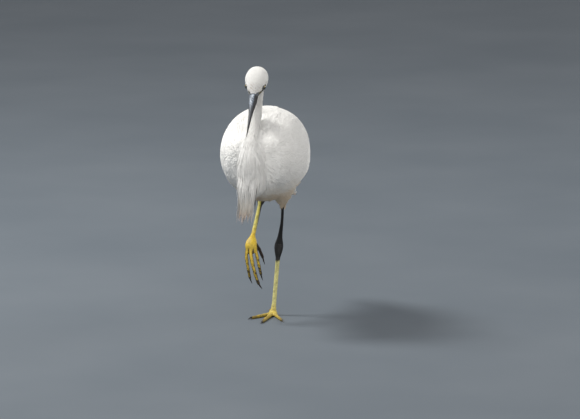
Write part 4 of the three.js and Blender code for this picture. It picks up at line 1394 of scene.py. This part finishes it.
# head: very small feathers, none on the lores, the lids or where the bill comes out
def head_coat():
    coat = Coat("feathers_head")
    g = -DEPTH["head"]
    t, th = rings(HEAD, 1.55, g, 0.02, 0.999, spacing_fn=lambda tt: 1.25 + 0.75 * tt)
    P, N = loft_point(HEAD, t, th, g), loft_normal(HEAD, t, th, g)
    D = loft_flow(HEAD, t, th, g)
    keep, Q, M = on_skin(P, N, 1.8, 0.2)
    a, u, l = to_head(Q)
    keep &= lore_mask(a, u, l) < 0.75
    for s in (1, -1):
        r, h, ea, eb = eye_polar(Q, s)
        keep &= ~((h > 0) & (r < 5.7))
    # the bill's root, left bare: the forehead's edge is rounded, the chin's runs further out
    ba, bu, bl = to_head(Q, BK)
    forehead = 20.6 - 0.10 * l ** 2
    keep &= ~((u > 0.4) & (a > forehead))
    keep &= ~((u <= 0.4) & (u > -6.0) & (a > 14.5))
    keep &= ~((u <= -3) & (a > 22))
    t, th, Q, M, D, a, u, l = (x[keep] for x in (t, th, Q, M, D, a, u, l))
    k = smooth(-10, -32, a)[:, None]
    D = unit(D * (1 - k) + np.array([0.0, 0.25, -1.0]) * k * 1.0)
    D = unit(D - M * (D * M).sum(1)[:, None])
    # round the eye the feathers part and pass above and below it
    for s in (1, -1):
        r, h, ea, eb = eye_polar(Q, s)
        w = np.where((h > -2) & (ea > -1.5), smooth(11, 6, r), 0)[:, None] * 0.8
        away = np.sign(eb)[:, None] * (SK[1][None])
        D = unit(D * (1 - w) + (away - M * (away * M).sum(1)[:, None]) * w)
    back = smooth(8, -25, a)
    L = 2.6 + 5.2 * back + rng.normal(0, 0.25, len(Q))
    L = np.where(u > 6, L * 1.12, L)
    rim = np.full(len(Q), 99.0)
    for s in (1, -1):
        r, h, ea, eb = eye_polar(Q, s)
        rim = np.where(h > -1, np.minimum(rim, r), rim)
    L = L * (0.58 + 0.42 * smooth(5.6, 9.0, rim))
    L = L * (1 - 0.35 * smooth(14, 19, a) * (u < 3))
    W = 0.5 + 0.75 * back
    bw = 0.17 + 0.16 * back
    tufts(coat, Q, D, L, W, tile(t, th, TILES["head"]), SKIN_TREE, 0.05, DEPTH["head"] * 0.95, B=5, J=4, K=4, bw=bw * 1.18, thick=0.32, fan=0.5,
          wave=0.035, colour=plumage_colour(Q), jitter=0.015)
    return coat.make(MAT_TUFT)


def neck_coat():
    coat = Coat("feathers_neck")
    g = -DEPTH["neck"]
    t, th = rings(NECK, 2.7, g, 0.0, 0.93, spacing_fn=lambda tt: 2.3 + 1.9 * smooth(0.35, 0.8, tt))
    P, N = loft_point(NECK, t, th, g), loft_normal(NECK, t, th, g)
    D = loft_flow(NECK, t, th, g)
    keep, Q, M = on_skin(P, N, 2.4, 0.3)
    t, th, Q, M, D = (x[keep] for x in (t, th, Q, M, D))
    D = unit(D + rng.normal(0, 0.05, D.shape))
    low = smooth(0.3, 0.85, t)
    L = 7.5 + 15 * low + rng.normal(0, 0.5, len(Q))
    W = 1.25 + 1.9 * low
    bw = 0.32 + 0.30 * low
    tufts(coat, Q, D, L, W, tile(t, th, TILES["neck"]), SKIN_TREE, 0.1, DEPTH["neck"] * 1.0, B=7, J=4, K=4, bw=bw * 1.18, thick=0.30, fan=0.5,
          wave=0.035, colour=plumage_colour(Q), jitter=0.015)
    return coat.make(MAT_TUFT)


def breast_coat():
    """Longer feathers from the lower foreneck down over the plumes, and from its sides back over the shoulders."""
    coat = Coat("feathers_foreneck")
    guide = tree(joined("guide", [loft_mesh("a", NECK, 90, 60, -DEPTH["neck"] + 0.8), loft_mesh("b", PLUMES, 60, 48, -1.6)]).data)
    drop(bpy.data.objects["guide"])
    t, th = rings(NECK, 3.6, -DEPTH["neck"], 0.60, 0.86)
    P, N = loft_point(NECK, t, th, -DEPTH["neck"]), loft_normal(NECK, t, th, -DEPTH["neck"])
    keep = (N[:, 1] < -0.35) & (P[:, 2] > 208)
    t, th, P, N = (x[keep] for x in (t, th, P, N))
    n = len(P)
    down = lambda Q: np.tile(np.array([-0.03, -0.10, -1.0]), (len(Q), 1))
    L = 30 + 10 * smooth(-0.5, -0.95, N[:, 1]) + rng.normal(0, 2.0, n)
    tufts(coat, P, down(P), L, np.full(n, 2.3), tile(t, th, TILES["neck"]), guide, 0.2, 2.6, B=6, J=6, K=8, bw=np.full(n, 0.42), thick=0.3, wave=0.05,
          field=down, pull=0.3, colour=plumage_colour(P), jitter=0.015, power=0.6, note=False)
    # the crease between the neck and the shoulders, bridged by longer feathers from the neck's sides
    whole = voxel("bridge", [loft_mesh("a", NECK, 90, 60, -DEPTH["neck"]), loft_mesh("b", MANTLE, 90, 80, -DEPTH["mantle"]), loft_mesh("c", TRUNK, 90, 80, -DEPTH["trunk"])], 2.2, 40)
    bridge = tree(whole.data)
    drop(whole)
    t, th = rings(NECK, 3.1, -DEPTH["neck"], 0.44, 0.88)
    P, N = loft_point(NECK, t, th, -DEPTH["neck"]), loft_normal(NECK, t, th, -DEPTH["neck"])
    keep, Q, M = on_skin(P, N, 4.5, 0.15)
    keep &= (np.abs(N[:, 0]) > 0.34) & (N[:, 1] > -0.93) & (N[:, 1] < 0.75)
    t, th, Q, M = (x[keep] for x in (t, th, Q, M))
    n = len(Q)
    side = np.sign(Q[:, 0] - MID)[:, None]
    ahead = smooth(-90, -108, Q[:, 1])[:, None]
    D = unit(np.array([0.0, 0.62, -0.55]) * (1 - ahead) + np.array([0, 0.20, -0.90]) * ahead + side * np.array([0.40, 0, 0]) + rng.normal(0, 0.035, (n, 3)))
    D = unit(D - M * (D * M).sum(1)[:, None])
    tufts(coat, Q, D, 27 + rng.normal(0, 1.5, n), np.full(n, 3.2), tile(t, th, TILES["neck"]), bridge, 0.4, 2.5, B=8, J=6, K=8, bw=np.full(n, 0.56),
          thick=0.3, fan=0.5, wave=0.03, colour=plumage_colour(Q), jitter=0.012, power=0.45, note=False)
    return coat.make(MAT_TUFT)


def inside_outline(y, z, margin=0.0):
    poly = OUTLINE
    inside = np.zeros(len(y), bool)
    n = len(poly)
    j = n - 1
    for i in range(n):
        yi, zi, yj, zj = poly[i, 0], poly[i, 1], poly[j, 0], poly[j, 1]
        c = ((zi > z) != (zj > z)) & (y < (yj - yi) * (z - zi) / (zj - zi + 1e-12) + yi)
        inside ^= c
        j = i
    return inside


def body_flow(Q, M, D):
    """The lie of the body's feathers: away from the neck, drawn down at the breast, and back to the tail behind."""
    k = smooth(-55, -100, Q[:, 1]) * smooth(290, 245, Q[:, 2])
    D = D + np.array([0, 0.10, -0.75]) * k[:, None]
    rear = smooth(60, 90, Q[:, 1])
    facing = smooth(0.45, 0.8, M[:, 1])[:, None]            # what looks backwards lies downwards
    back = np.array([0, 0.86, -0.50]) * (1 - facing) + np.array([0, 0.30, -0.95]) * facing
    D = D * (1 - 0.85 * rear[:, None]) + back * (0.85 * rear)[:, None]
    D = unit(D + rng.normal(0, 0.04, D.shape))
    return unit(D - M * (D * M).sum(1)[:, None])


def trunk_coat():
    g = -DEPTH["trunk"]
    t, th = rings(TRUNK, 4.3, g, 0.0, 0.97)
    P, N = loft_point(TRUNK, t, th, g), loft_normal(TRUNK, t, th, g)
    D = loft_flow(TRUNK, t, th, g)
    keep, Q, M = on_skin(P, N, 3.4, 0.3)
    t, th, Q, M, D = (x[keep] for x in (t, th, Q, M, D))
    D = body_flow(Q, M, D)
    y, z = Q[:, 1], Q[:, 2]
    L = 17 + 8 * smooth(-100, -40, y) - 9 * smooth(80, 98, y) + rng.normal(0, 1.0, len(Q))
    under = smooth(215, 185, z)
    W = np.full(len(Q), 3.8) - 0.7 * under
    bw = 0.74 - 0.20 * under
    lift = 0.5 * under * np.abs(rng.normal(0, 1.0, len(Q)))
    lift = lift - 3.0 * smooth(-95, -103, y) * smooth(222, 232, z) * smooth(12, 18, np.abs(Q[:, 0] - MID))      # flat under the feathers of the neck's sides
    half = z > 214
    for name, m in (("feathers_trunk_upper", half), ("feathers_trunk_lower", ~half)):
        coat = Coat(name)
        tufts(coat, Q[m], D[m], L[m], W[m], tile(t, th, TILES["trunk"])[m], SKIN_TREE, 0.3, DEPTH["trunk"] * 0.92, B=8, J=4, K=5, bw=bw[m], thick=0.30, fan=0.45,
              wave=0.045, colour=plumage_colour(Q[m]), jitter=0.015, lift=lift[m])
        coat.make(MAT_TUFT)


def thigh_coat(side, s):
    coat = Coat("feathers_thigh_" + side)
    g = -DEPTH["thigh"]
    t, th = rings(s, 3.2, g, 0.1, 0.99)
    P, N = loft_point(s, t, th, g), loft_normal(s, t, th, g)
    D = loft_flow(s, t, th, g)
    keep, Q, M = on_skin(P, N, 2.4, 0.3)
    t, th, Q, M, D = (x[keep] for x in (t, th, Q, M, D))
    low = smooth(0.5, 1.0, t)
    L = 16 - 8.5 * low + rng.normal(0, 0.8, len(Q))
    L = np.maximum(L, 5)
    tufts(coat, Q, D, L, 2.6 - 1.5 * low, tile(t, th, TILES["thigh_l" if side == "left" else "thigh_r"]), SKIN_TREE, 0.2, 2.8, B=7, J=4, K=4,
          bw=0.46 - 0.20 * low, thick=0.38, wave=0.06, colour=plumage_colour(Q), jitter=0.015, power=0.5)
    return coat.make(MAT_TUFT, ("thigh_" + side,))


MANTLE_TREE = tree(loft_mesh("guide", MANTLE, 150, 120, -DEPTH["mantle"]))


def mantle_t(y):
    ys = np.array([r[0] for r in MANTLE_ROWS], float)
    return np.interp(y, ys, np.arange(len(ys)) / (len(ys) - 1))


def mantle_field(side):
    """Direction of the wing's feathers at a point: back along the mantle, closing on the wing tip."""
    tip = np.array([MID + side * 4.5, 150, 149])

    def f(Q):
        v = unit(tip - Q)
        k = smooth(-20, 90, Q[:, 1])[:, None]
        back = np.tile(np.array([0.0, 1.0, -0.22]), (len(Q), 1))
        return unit(back * (1 - k) + v * k)
    return f


def wing_coat(side):
    sgn = 1 if side == "left" else -1
    g = -DEPTH["mantle"]
    top = DEPTH["mantle"]
    fold = mantle_field(sgn)

    def roots(y, deg):
        y, deg = np.asarray(y, float), np.asarray(deg, float)
        th = np.radians(deg) if sgn > 0 else np.pi - np.radians(deg)
        t = mantle_t(y)
        return t, th, loft_point(MANTLE, t, th, g), loft_normal(MANTLE, t, th, g), loft_flow(MANTLE, t, th, g)

    # small soft feathers of the shoulder and the fore wing, and the longer loose ones of the back
    soft = Coat("feathers_wing_%s_coverts" % side)
    t, th = rings(MANTLE, 4.2, g, 0.01, mantle_t(106))
    P, N, D = loft_point(MANTLE, t, th, g), loft_normal(MANTLE, t, th, g), loft_flow(MANTLE, t, th, g)
    own = (P[:, 0] - MID) * sgn > -0.5
    keep, Q, M = on_skin(P, N, 2.6, 0.3)
    keep &= own & inside_outline(P[:, 1], P[:, 2])
    y, z = P[:, 1], P[:, 2]
    mz = np.interp(y, [r[0] for r in MANTLE_ROWS], [r[1] for r in MANTLE_ROWS])
    mh = np.interp(y, [r[0] for r in MANTLE_ROWS], [r[3] for r in MANTLE_ROWS])
    high = (z - mz) / mh                                                    # 1 along the spine
    limit = np.where(high > 0.62, 104, -22 + 34 * smooth(0.1, 0.62, high)) + rng.normal(0, 3.0, len(y))
    keep &= y < limit
    keep &= (rng.random(len(y)) < np.where((high > 0.62) & (y > -10), 0.62, 1.0))
    t, th, Q, M, D, high, y = (x[keep] for x in (t, th, Q, M, D, high, y))
    front = smooth(-60, -95, Q[:, 1])[:, None]
    D = unit(body_flow(Q, M, D) * front + D * (1 - front) + rng.normal(0, 0.03, D.shape))
    spine = smooth(0.45, 0.72, high)
    L = 14 + 9 * smooth(-95, -30, y) + spine * (8 * smooth(-95, -60, y) + 22 * smooth(-60, 10, y)) + rng.normal(0, 1.0, len(Q))
    L = np.minimum(L, np.maximum((150 - y) * 0.98, 14))
    order = spine > 0.5
    for m, kw in ((~order, dict(J=4, K=5, B=9)), (order, dict(J=5, K=7, B=9))):
        tufts(soft, Q[m], D[m], L[m], (3.9 + 0.5 * spine)[m], tile(t, th, TILES["mantle"])[m], MANTLE_TREE, 0.15, top * 1.02, bw=(0.70 + 0.06 * spine)[m],
              thick=0.26, fan=0.5, wave=0.02, ragged=0.14, field=fold, pull=0.06, colour=plumage_colour(Q[m]), jitter=0.008, power=0.42,
              lift=-2.3 * smooth(-94, -102, Q[m][:, 1]), **kw)
    soft.make(MAT_TUFT)

    hard = Coat("feathers_wing_%s_flight" % side, 0.6)

    def row(y, degs, L, W, h0, h1, jy=2.0, jd=0.9, **kw):
        n = len(degs)
        degs = np.asarray(degs, float) + rng.uniform(-jd, jd, n)
        yy = (np.full(n, y) if np.isscalar(y) else np.asarray(y, float)) + rng.uniform(-jy, jy, n)
        t, th, P, N, D = roots(yy, degs)
        ok = inside_outline(P[:, 1], P[:, 2] - 2)
        LL = (np.full(n, L) if np.isscalar(L) else np.asarray(L, float)) * (1 + rng.normal(0, 0.03, n))
        WW = (np.full(n, W) if np.isscalar(W) else np.asarray(W, float)) * (1 + rng.normal(0, 0.04, n))
        vanes(hard, P[ok], D[ok], LL[ok], WW[ok], tile(t, th, TILES["mantle"])[ok], MANTLE_TREE, h0, h1, field=fold, colour=plumage_colour(P[ok]),
              roll=np.full(ok.sum(), -0.07 * sgn), **kw)

    for i, y in enumerate((76, 70, 64, 58, 52)):        # primaries, under the rest, with pointed tips
        row(y, [-34 + 8 * i], 66 - 1.0 * i, 5.0, -0.8, 0.6, tip=0.55, point=0.40, pull=0.25, tip_tint=(BUFF, np.full(1, 0.85)))
    row(np.linspace(18, 40, 15), np.linspace(-54, 30, 15), np.linspace(96, 98, 15), 7.6, 0.2, 2.2, tip=0.34, point=0.18, pull=0.22)       # secondaries
    row(np.linspace(44, 26, 8), np.linspace(32, 84, 8), np.linspace(92, 112, 8), 8.6, 0.4, 2.7, tip=0.45, point=0.30, pull=0.2)           # tertials
    row(np.linspace(50, 62, 6), np.linspace(62, 88.5, 6), np.linspace(62, 66, 6), 7.4, 0.2, 1.3, jy=3, tip=0.5, point=0.2, pull=0.1)       # over the rump
    row(np.linspace(6, 20, 19), np.linspace(-52, 46, 19), 46, 6.6, 0.5, 2.1, tip=0.4, pull=0.15)                                         # greater coverts
    row(np.linspace(-12, 2, 21), np.linspace(-50, 50, 21), 35, 5.8, 0.6, 2.4, tip=0.45, pull=0.12)                                       # median coverts
    row(np.linspace(-26, -14, 24), np.linspace(-48, 52, 24), 27, 5.0, 0.7, 2.6, tip=0.5, pull=0.1)
    row(np.linspace(-38, -26, 26), np.linspace(-46, 54, 26), 22, 4.4, 0.8, 2.8, tip=0.5, pull=0.1)
    hard.make(MAT_VANE, ("wing_" + side,))


def tail_coat():
    """Twelve feathers, the middle pair on top, the outer ones under it."""
    coat = Coat("feathers_tail", 0.6)
    n = 12
    x = np.linspace(-1, 1, n)
    x = x[np.argsort(-np.abs(x))]
    rank = np.arange(n)
    root = np.column_stack([MID + x * 6.0, np.full(n, 80.0), 186.5 - 1.0 * np.abs(x)])
    tip = np.column_stack([MID + x * 9.5, 144 - 4.0 * np.abs(x), 153.4 + 0.8 * (1 - np.abs(x))])
    L = np.linalg.norm(tip - root, axis=1)
    J = 15
    q = 1 - (1 - np.linspace(0, 1, J)) ** 1.5
    C = root[:, None] + (tip - root)[:, None] * q[None, :, None]
    C[..., 2] += (rank * 0.12 - 0.7)[:, None] - 1.6 * np.sin(np.pi * q)[None]
    D = unit(np.gradient(C, axis=1))
    up = np.broadcast_to(np.array([0, 0.45, 0.9]), C.shape)
    S = unit(np.cross(D, up))
    U = np.cross(S, D)
    cant = (-0.10 * x)[:, None, None]                     # each side slopes away from the middle
    S, U = S * np.cos(cant) + U * np.sin(cant), U * np.cos(cant) - S * np.sin(cant)
    hw = 5.4 * (0.45 + 0.55 * smooth(0, 0.3, q)) * np.clip(1 - np.clip((q - 0.70) / 0.30, 0, 1) ** 2.4, 0.0004, 1) ** 0.6
    hw = np.broadcast_to(hw, (n, J)) * (1 - 0.05 * np.clip(rng.normal(0, 1, (n, J)), 0, 2))
    col = plumage_colour(C.reshape(-1, 3)).reshape(n, J, 3)
    k = (smooth(0.55, 0.95, q) * 0.6)[None, :, None]
    col = col * (1 - k) + BUFF * k
    uv = tile(np.linspace(0.05, 0.95, n), (x + 1) * 3.0, TILES["tail"])
    u0 = np.stack([np.zeros((n, J)), np.broadcast_to((q - 0.5) * 0.0024, (n, J))], -1) + uv[:, None]
    coat.add(C, S, U, hw, np.full((n, J), 0.14), col, u0, VANE, gn=U, vane=L[:, None] * q[None], roundness=0.2)
    coat.make(MAT_VANE, ("tail",))

    # coverts over and under the tail's root
    soft = Coat("feathers_tail_coverts")
    rump = loft([[MID, 66, 205], [MID, 84, 194], [MID, 100, 181.5], [MID, 113, 171.5], [MID, 126, 163.2], [MID, 139, 156]],
                [[33, 36, 22], [28, 28.5, 16], [21, 18.5, 11], [15.5, 10.5, 7.5], [13.2, 4.6, 4.4], [12, 1.6, 1.6]])
    cover = tree(loft_mesh("rump", rump, 60, 72, 0))
    t, th = rings(rump, 3.7, 0, 0.06, 0.62)
    P, N, D = loft_point(rump, t, th, 0), loft_normal(rump, t, th, 0), loft_flow(rump, t, th, 0)
    keep = ((np.sin(th) > -0.25) | (P[:, 1] > 84)) & (P[:, 1] > 74)
    t, th, P, N, D = (x[keep] for x in (t, th, P, N, D))
    L = np.clip(27 - 12 * t, 14, 27) + rng.normal(0, 1.0, len(t))
    flow = lambda Q: unit(np.array([MID, 150, 150.0]) - Q)
    tufts(soft, P - N * 0.6, D, L, np.full(len(t), 3.0), tile(0.5 * t, th, TILES["tail"]), cover, -0.4, 1.5, B=8, J=5, K=6, bw=np.full(len(t), 0.52), thick=0.3,
          wave=0.03, field=flow, pull=0.2, colour=plumage_colour(P), jitter=0.012, power=0.7)
    t, th = rings(TAIL, 3.4, 0.2, 0.0, 0.55)
    P, N, D = loft_point(TAIL, t, th, 0.2), loft_normal(TAIL, t, th, 0.2), loft_flow(TAIL, t, th, 0.2)
    guide = tree(loft_mesh("guide", TAIL, 60, 60, 0.2))
    L = 25 - 9 * t + rng.normal(0, 0.8, len(t))
    tufts(soft, P, D, L, np.full(len(t), 2.6), tile(t, th, TILES["tail"]), guide, 0.1, 1.5, B=7, J=4, K=5, bw=np.full(len(t), 0.5), thick=0.3,
          wave=0.03, colour=plumage_colour(P), jitter=0.01)
    soft.make(MAT_TUFT)


def plume_coat():
    """Long lanceolate plumes of the lower foreneck, hanging free at their tips."""
    coat = Coat("feathers_breast_plumes", 0.55)
    n = 400
    t0 = np.where(rng.random(n) < 0.6, rng.uniform(-0.3, 0.10, n), rng.uniform(0.1, 0.5, n))
    t1 = np.minimum(np.maximum(t0 + 0.45, 0.35 + 0.78 * rng.beta(2.6, 1.3, n)), 1.12)
    ang = rng.uniform(0, 2 * np.pi, n)
    rad = np.sqrt(rng.uniform(0.15, 1.0, n))
    x, dep = rad * np.cos(ang), rad * np.sin(ang)
    J, B = 10, 5
    q = np.linspace(0, 1, J)
    beta = np.linspace(-1, 1, B)[None] + rng.normal(0, 0.15, (n, B))
    ell = 1 - 0.12 * np.abs(beta) - np.abs(rng.normal(0, 0.08, (n, B)))
    tt = t0[:, None, None] + (t1 - t0)[:, None, None] * q[None, None] * ell[..., None]
    Pc, T, Lf, D, S = loft_frame(PLUMES, np.clip(tt, 0, 1).ravel())
    sh = (n, B, J)
    Pc, T, Lf, D, S = (A.reshape(sh + (3,)) for A in (Pc, T, Lf, D, S))
    Pc = Pc + T * ((tt - np.clip(tt, 0, 1)) * 78)[..., None]
    # the column parts into a few locks towards the tips, each closing on its own line
    locks = np.array([-1.05, -0.62, -0.22, 0.16, 0.55, 1.0])
    lock = locks[np.abs(x[:, None] - locks[None]).argmin(1)]
    gather = smooth(0.56, 0.94, tt) * 0.92
    xx = x[:, None, None] * (1 - gather) + lock[:, None, None] * gather
    wide = xx * (S[..., 0] - 1.6)
    spread = beta[..., None] * (0.45 + 1.0 * q ** 1.4)[None, None] * (1 - 0.6 * gather) + (rng.normal(0, 0.9, (n, 1, 1)) + rng.normal(0, 0.6, (n, B, 1))) * q[None, None] ** 2.4
    depth = dep[:, None, None] * (S[..., 1] * 0.78) * (1 - 0.4 * gather) + rng.normal(0, 0.35, (n, B, 1)) * q[None, None]
    C = Pc + Lf * (wide + spread)[..., None] - D * depth[..., None]
    low = smooth(0.6, 1.08, tt)
    C = C + (np.array([-1.4, -0.9, 0.0]) + Lf * (lock * 5.2)[:, None, None, None]) * (low ** 1.5)[..., None]
    uneven = np.array([-6.0, 1.5, -4.0, 3.5, -1.0, -8.0])[np.abs(x[:, None] - locks[None]).argmin(1)]
    C = C - T * (uneven[:, None, None] * low)[..., None]
    D2 = unit(np.gradient(C, axis=2))
    out = unit(Lf * x[:, None, None, None] - D * (dep[:, None, None, None] + 0.25))
    S2 = unit(np.cross(D2, out))
    tw = rng.normal(0, 0.35, (n, B, 1, 1)) * q[None, None, :, None]
    U2 = np.cross(S2, D2)
    S3 = S2 * np.cos(tw) + U2 * np.sin(tw)
    U3 = U2 * np.cos(tw) - S2 * np.sin(tw)
    hw = 0.52 * (1 - 0.66 * q ** 1.4)[None, None] * smooth(-0.05, 0.16, q)[None, None] * (1 + rng.normal(0, 0.15, (n, B, 1)))
    hw = np.maximum(hw, 0.12)
    base = np.tile(WHITE * 0.99, (n, 1))[:, None, None] * (1 + rng.normal(0, 0.02, (n, B, 1, 1)))
    col = np.broadcast_to(base, sh + (3,)).copy()
    warm = (smooth(0.30, 0.8, tt) * 0.5)[..., None]
    col = col * (1 - warm) + WARM * warm
    buff = (smooth(0.74, 1.02, tt) * (0.30 + 0.70 * rng.random((n, 1, 1))))[..., None]
    col = col * (1 - buff) + BUFF * buff
    uv = tile(np.clip((t0 + 0.32) / 0.9, 0, 1), ang, TILES["plumes"])
    u0 = np.stack([np.broadcast_to((beta * 0.001)[..., None], sh), np.broadcast_to((q - 0.5) * 0.0024, sh)], -1) + uv[:, None, None]
    R = lambda A: A.reshape((n * B, J) + A.shape[3:])
    coat.add(R(C), R(S3), R(U3), R(hw), R(hw * 0.4), R(col), R(u0), BLADE, gn=R(out))
    return coat.make(MAT_TUFT, ("breast_plumes",))


def fill_gaps():
    """Roots wherever feathered skin has none near, taking after their neighbours."""
    from mathutils.kdtree import KDTree
    pos, dirs, L, W, bw, uv, depth = (np.concatenate([r[i] for r in ROOTS]) for i in range(7))
    kd = KDTree(len(pos))
    for i, p in enumerate(pos):
        kd.insert(Vector(p), i)
    kd.balance()
    V, N = coords(skin.data), normals(skin.data)
    a, u, l = to_head(V)
    head = (np.abs(a) < 40) & (np.abs(u) < 24) & (np.abs(l) < 22) & (V[:, 2] > 318)
    cand = (kind == 0) & (V[:, 2] > 155)
    for s in (1, -1):
        r, h, ea, eb = eye_polar(V, s)
        cand &= ~((h > -1) & (r < 6.4))
    cand &= ~(head & (a > 15))
    # under the broad feathers of the wings nothing is needed
    vane = (V[:, 1] > -34) & inside_outline(V[:, 1], V[:, 2])
    mid = [np.interp(V[:, 1], [r[0] for r in MANTLE_ROWS], [r[i] for r in MANTLE_ROWS]) for i in (1, 2, 4)]
    vane &= np.arctan2((V[:, 2] - mid[0]) / mid[2], np.abs(V[:, 0] - MID) / mid[1]) > math.radians(-44)
    idx = np.nonzero(cand)[0]
    near = np.array([[f[1] for f in kd.find_n(Vector(V[i]), 12)] for i in idx])
    d = V[idx][:, None] - pos[near]
    al = (d * dirs[near]).sum(2)
    lat = np.linalg.norm(d - dirs[near] * al[..., None], axis=2)
    covered = ((al > -0.05 * L[near]) & (al < 0.75 * L[near]) & (lat < W[near] + 0.3)).any(1)
    idx, near = idx[~covered], near[~covered]
    order = rng.permutation(len(idx))
    cell, taken, picked, pick_near = 1.5, {}, [], []
    for o in order:
        i = idx[o]
        p = V[i]
        want = max(1.1, 0.62 * W[near[o][0]])
        if vane[i]:
            loc, nor, j, dist = MANTLE_TREE.find_nearest(Vector(p))
            if dist < 3.0 and nor.dot(Vector(N[i])) > 0.5:
                continue
        key = tuple((p // cell).astype(int))
        reach = int(math.ceil(want / cell))
        clash = any(((V[k] - p) ** 2).sum() < want * want
                    for dx in range(-reach, reach + 1) for dy in range(-reach, reach + 1) for dz in range(-reach, reach + 1)
                    for k in taken.get((key[0] + dx, key[1] + dy, key[2] + dz), ()))
        if clash:
            continue
        taken.setdefault(key, []).append(i)
        picked.append(i)
        pick_near.append(near[o])
    near = pick_near
    if not picked:
        return
    picked, near = np.array(picked), np.array(near)
    Q, M = V[picked], N[picked]
    D = dirs[near[:, :6]].mean(1)
    D = unit(D - M * (D * M).sum(1)[:, None])
    n0 = near[:, 0]
    log("gaps filled", len(picked))
    coat = Coat("feathers_fill")
    w = np.maximum(W[n0], 1.0)
    tufts(coat, Q, D, np.minimum(L[n0], 24) * 0.9, w, uv[n0] + rng.uniform(-0.002, 0.002, (len(n0), 2)), SKIN_TREE, 0.2, 1.0, B=7, J=4, K=5, bw=bw[n0],
          thick=0.33, wave=0.05, colour=plumage_colour(Q), jitter=0.015, lift=np.minimum(depth[n0], 3.4) - 1.0, note=False)
    coat.make(MAT_TUFT)


head_coat()
neck_coat()
breast_coat()
trunk_coat()
thigh_coat("left", THIGH_L)
thigh_coat("right", THIGH_R)
wing_coat("left")
wing_coat("right")
tail_coat()
plume_coat()
fill_gaps()
log("plumage")


# ---------------------------------------------------------------- floor, light
def stage_material():
    m, nt, b = material("floor_paint", 0.7)
    obj = node(nt, "ShaderNodeTexCoord").outputs["Object"]
    n = noise(nt, obj, 3, 3)
    link(nt, ramp(nt, n, [(0.3, (0.074, 0.094, 0.116)), (0.7, (0.092, 0.112, 0.134))]), b.inputs["Base Color"])
    return m


me = bpy.data.meshes.new("floor")
ring = [(12 * math.cos(a), 12 * math.sin(a), -0.0002) for a in np.linspace(0, 2 * math.pi, 96, endpoint=False)]
me.from_pydata(ring, [], [tuple(range(96))])
floor = put("floor", me)
me.materials.append(stage_material())

world = bpy.data.worlds.new("world")
scene.world = world
world.use_nodes = True
world.node_tree.nodes["Background"].inputs[0].default_value = (0.74, 0.74, 0.74, 1)
world.node_tree.nodes["Background"].inputs[1].default_value = 0.74
scene.view_settings.view_transform = "Standard"
scene.view_settings.look = "None"


def area(name, where, size, power, colour, target=(-0.007, -0.01, 0.22)):
    d = bpy.data.lights.new(name, "AREA")
    d.shape, d.size, d.energy, d.color = "DISK", size, power, colour
    o = bpy.data.objects.new(name, d)
    scene.collection.objects.link(o)
    o.location = where
    o.rotation_mode = "QUATERNION"
    o.rotation_quaternion = (Vector(where) - Vector(target)).to_track_quat("Z", "Y")
    return o


area("key", (-1.75, 0.15, 2.35), 0.8, 92, (1.0, 0.975, 0.93))
area("front", (-0.4, -2.7, 1.2), 1.8, 26, (1.0, 0.985, 0.96))
area("fill", (1.9, -1.7, 0.35), 1.8, 26, (1.0, 0.94, 0.86))
area("rim", (1.7, 1.5, 1.4), 1.0, 14, (1.0, 0.98, 0.95))

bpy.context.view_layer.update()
log("done")
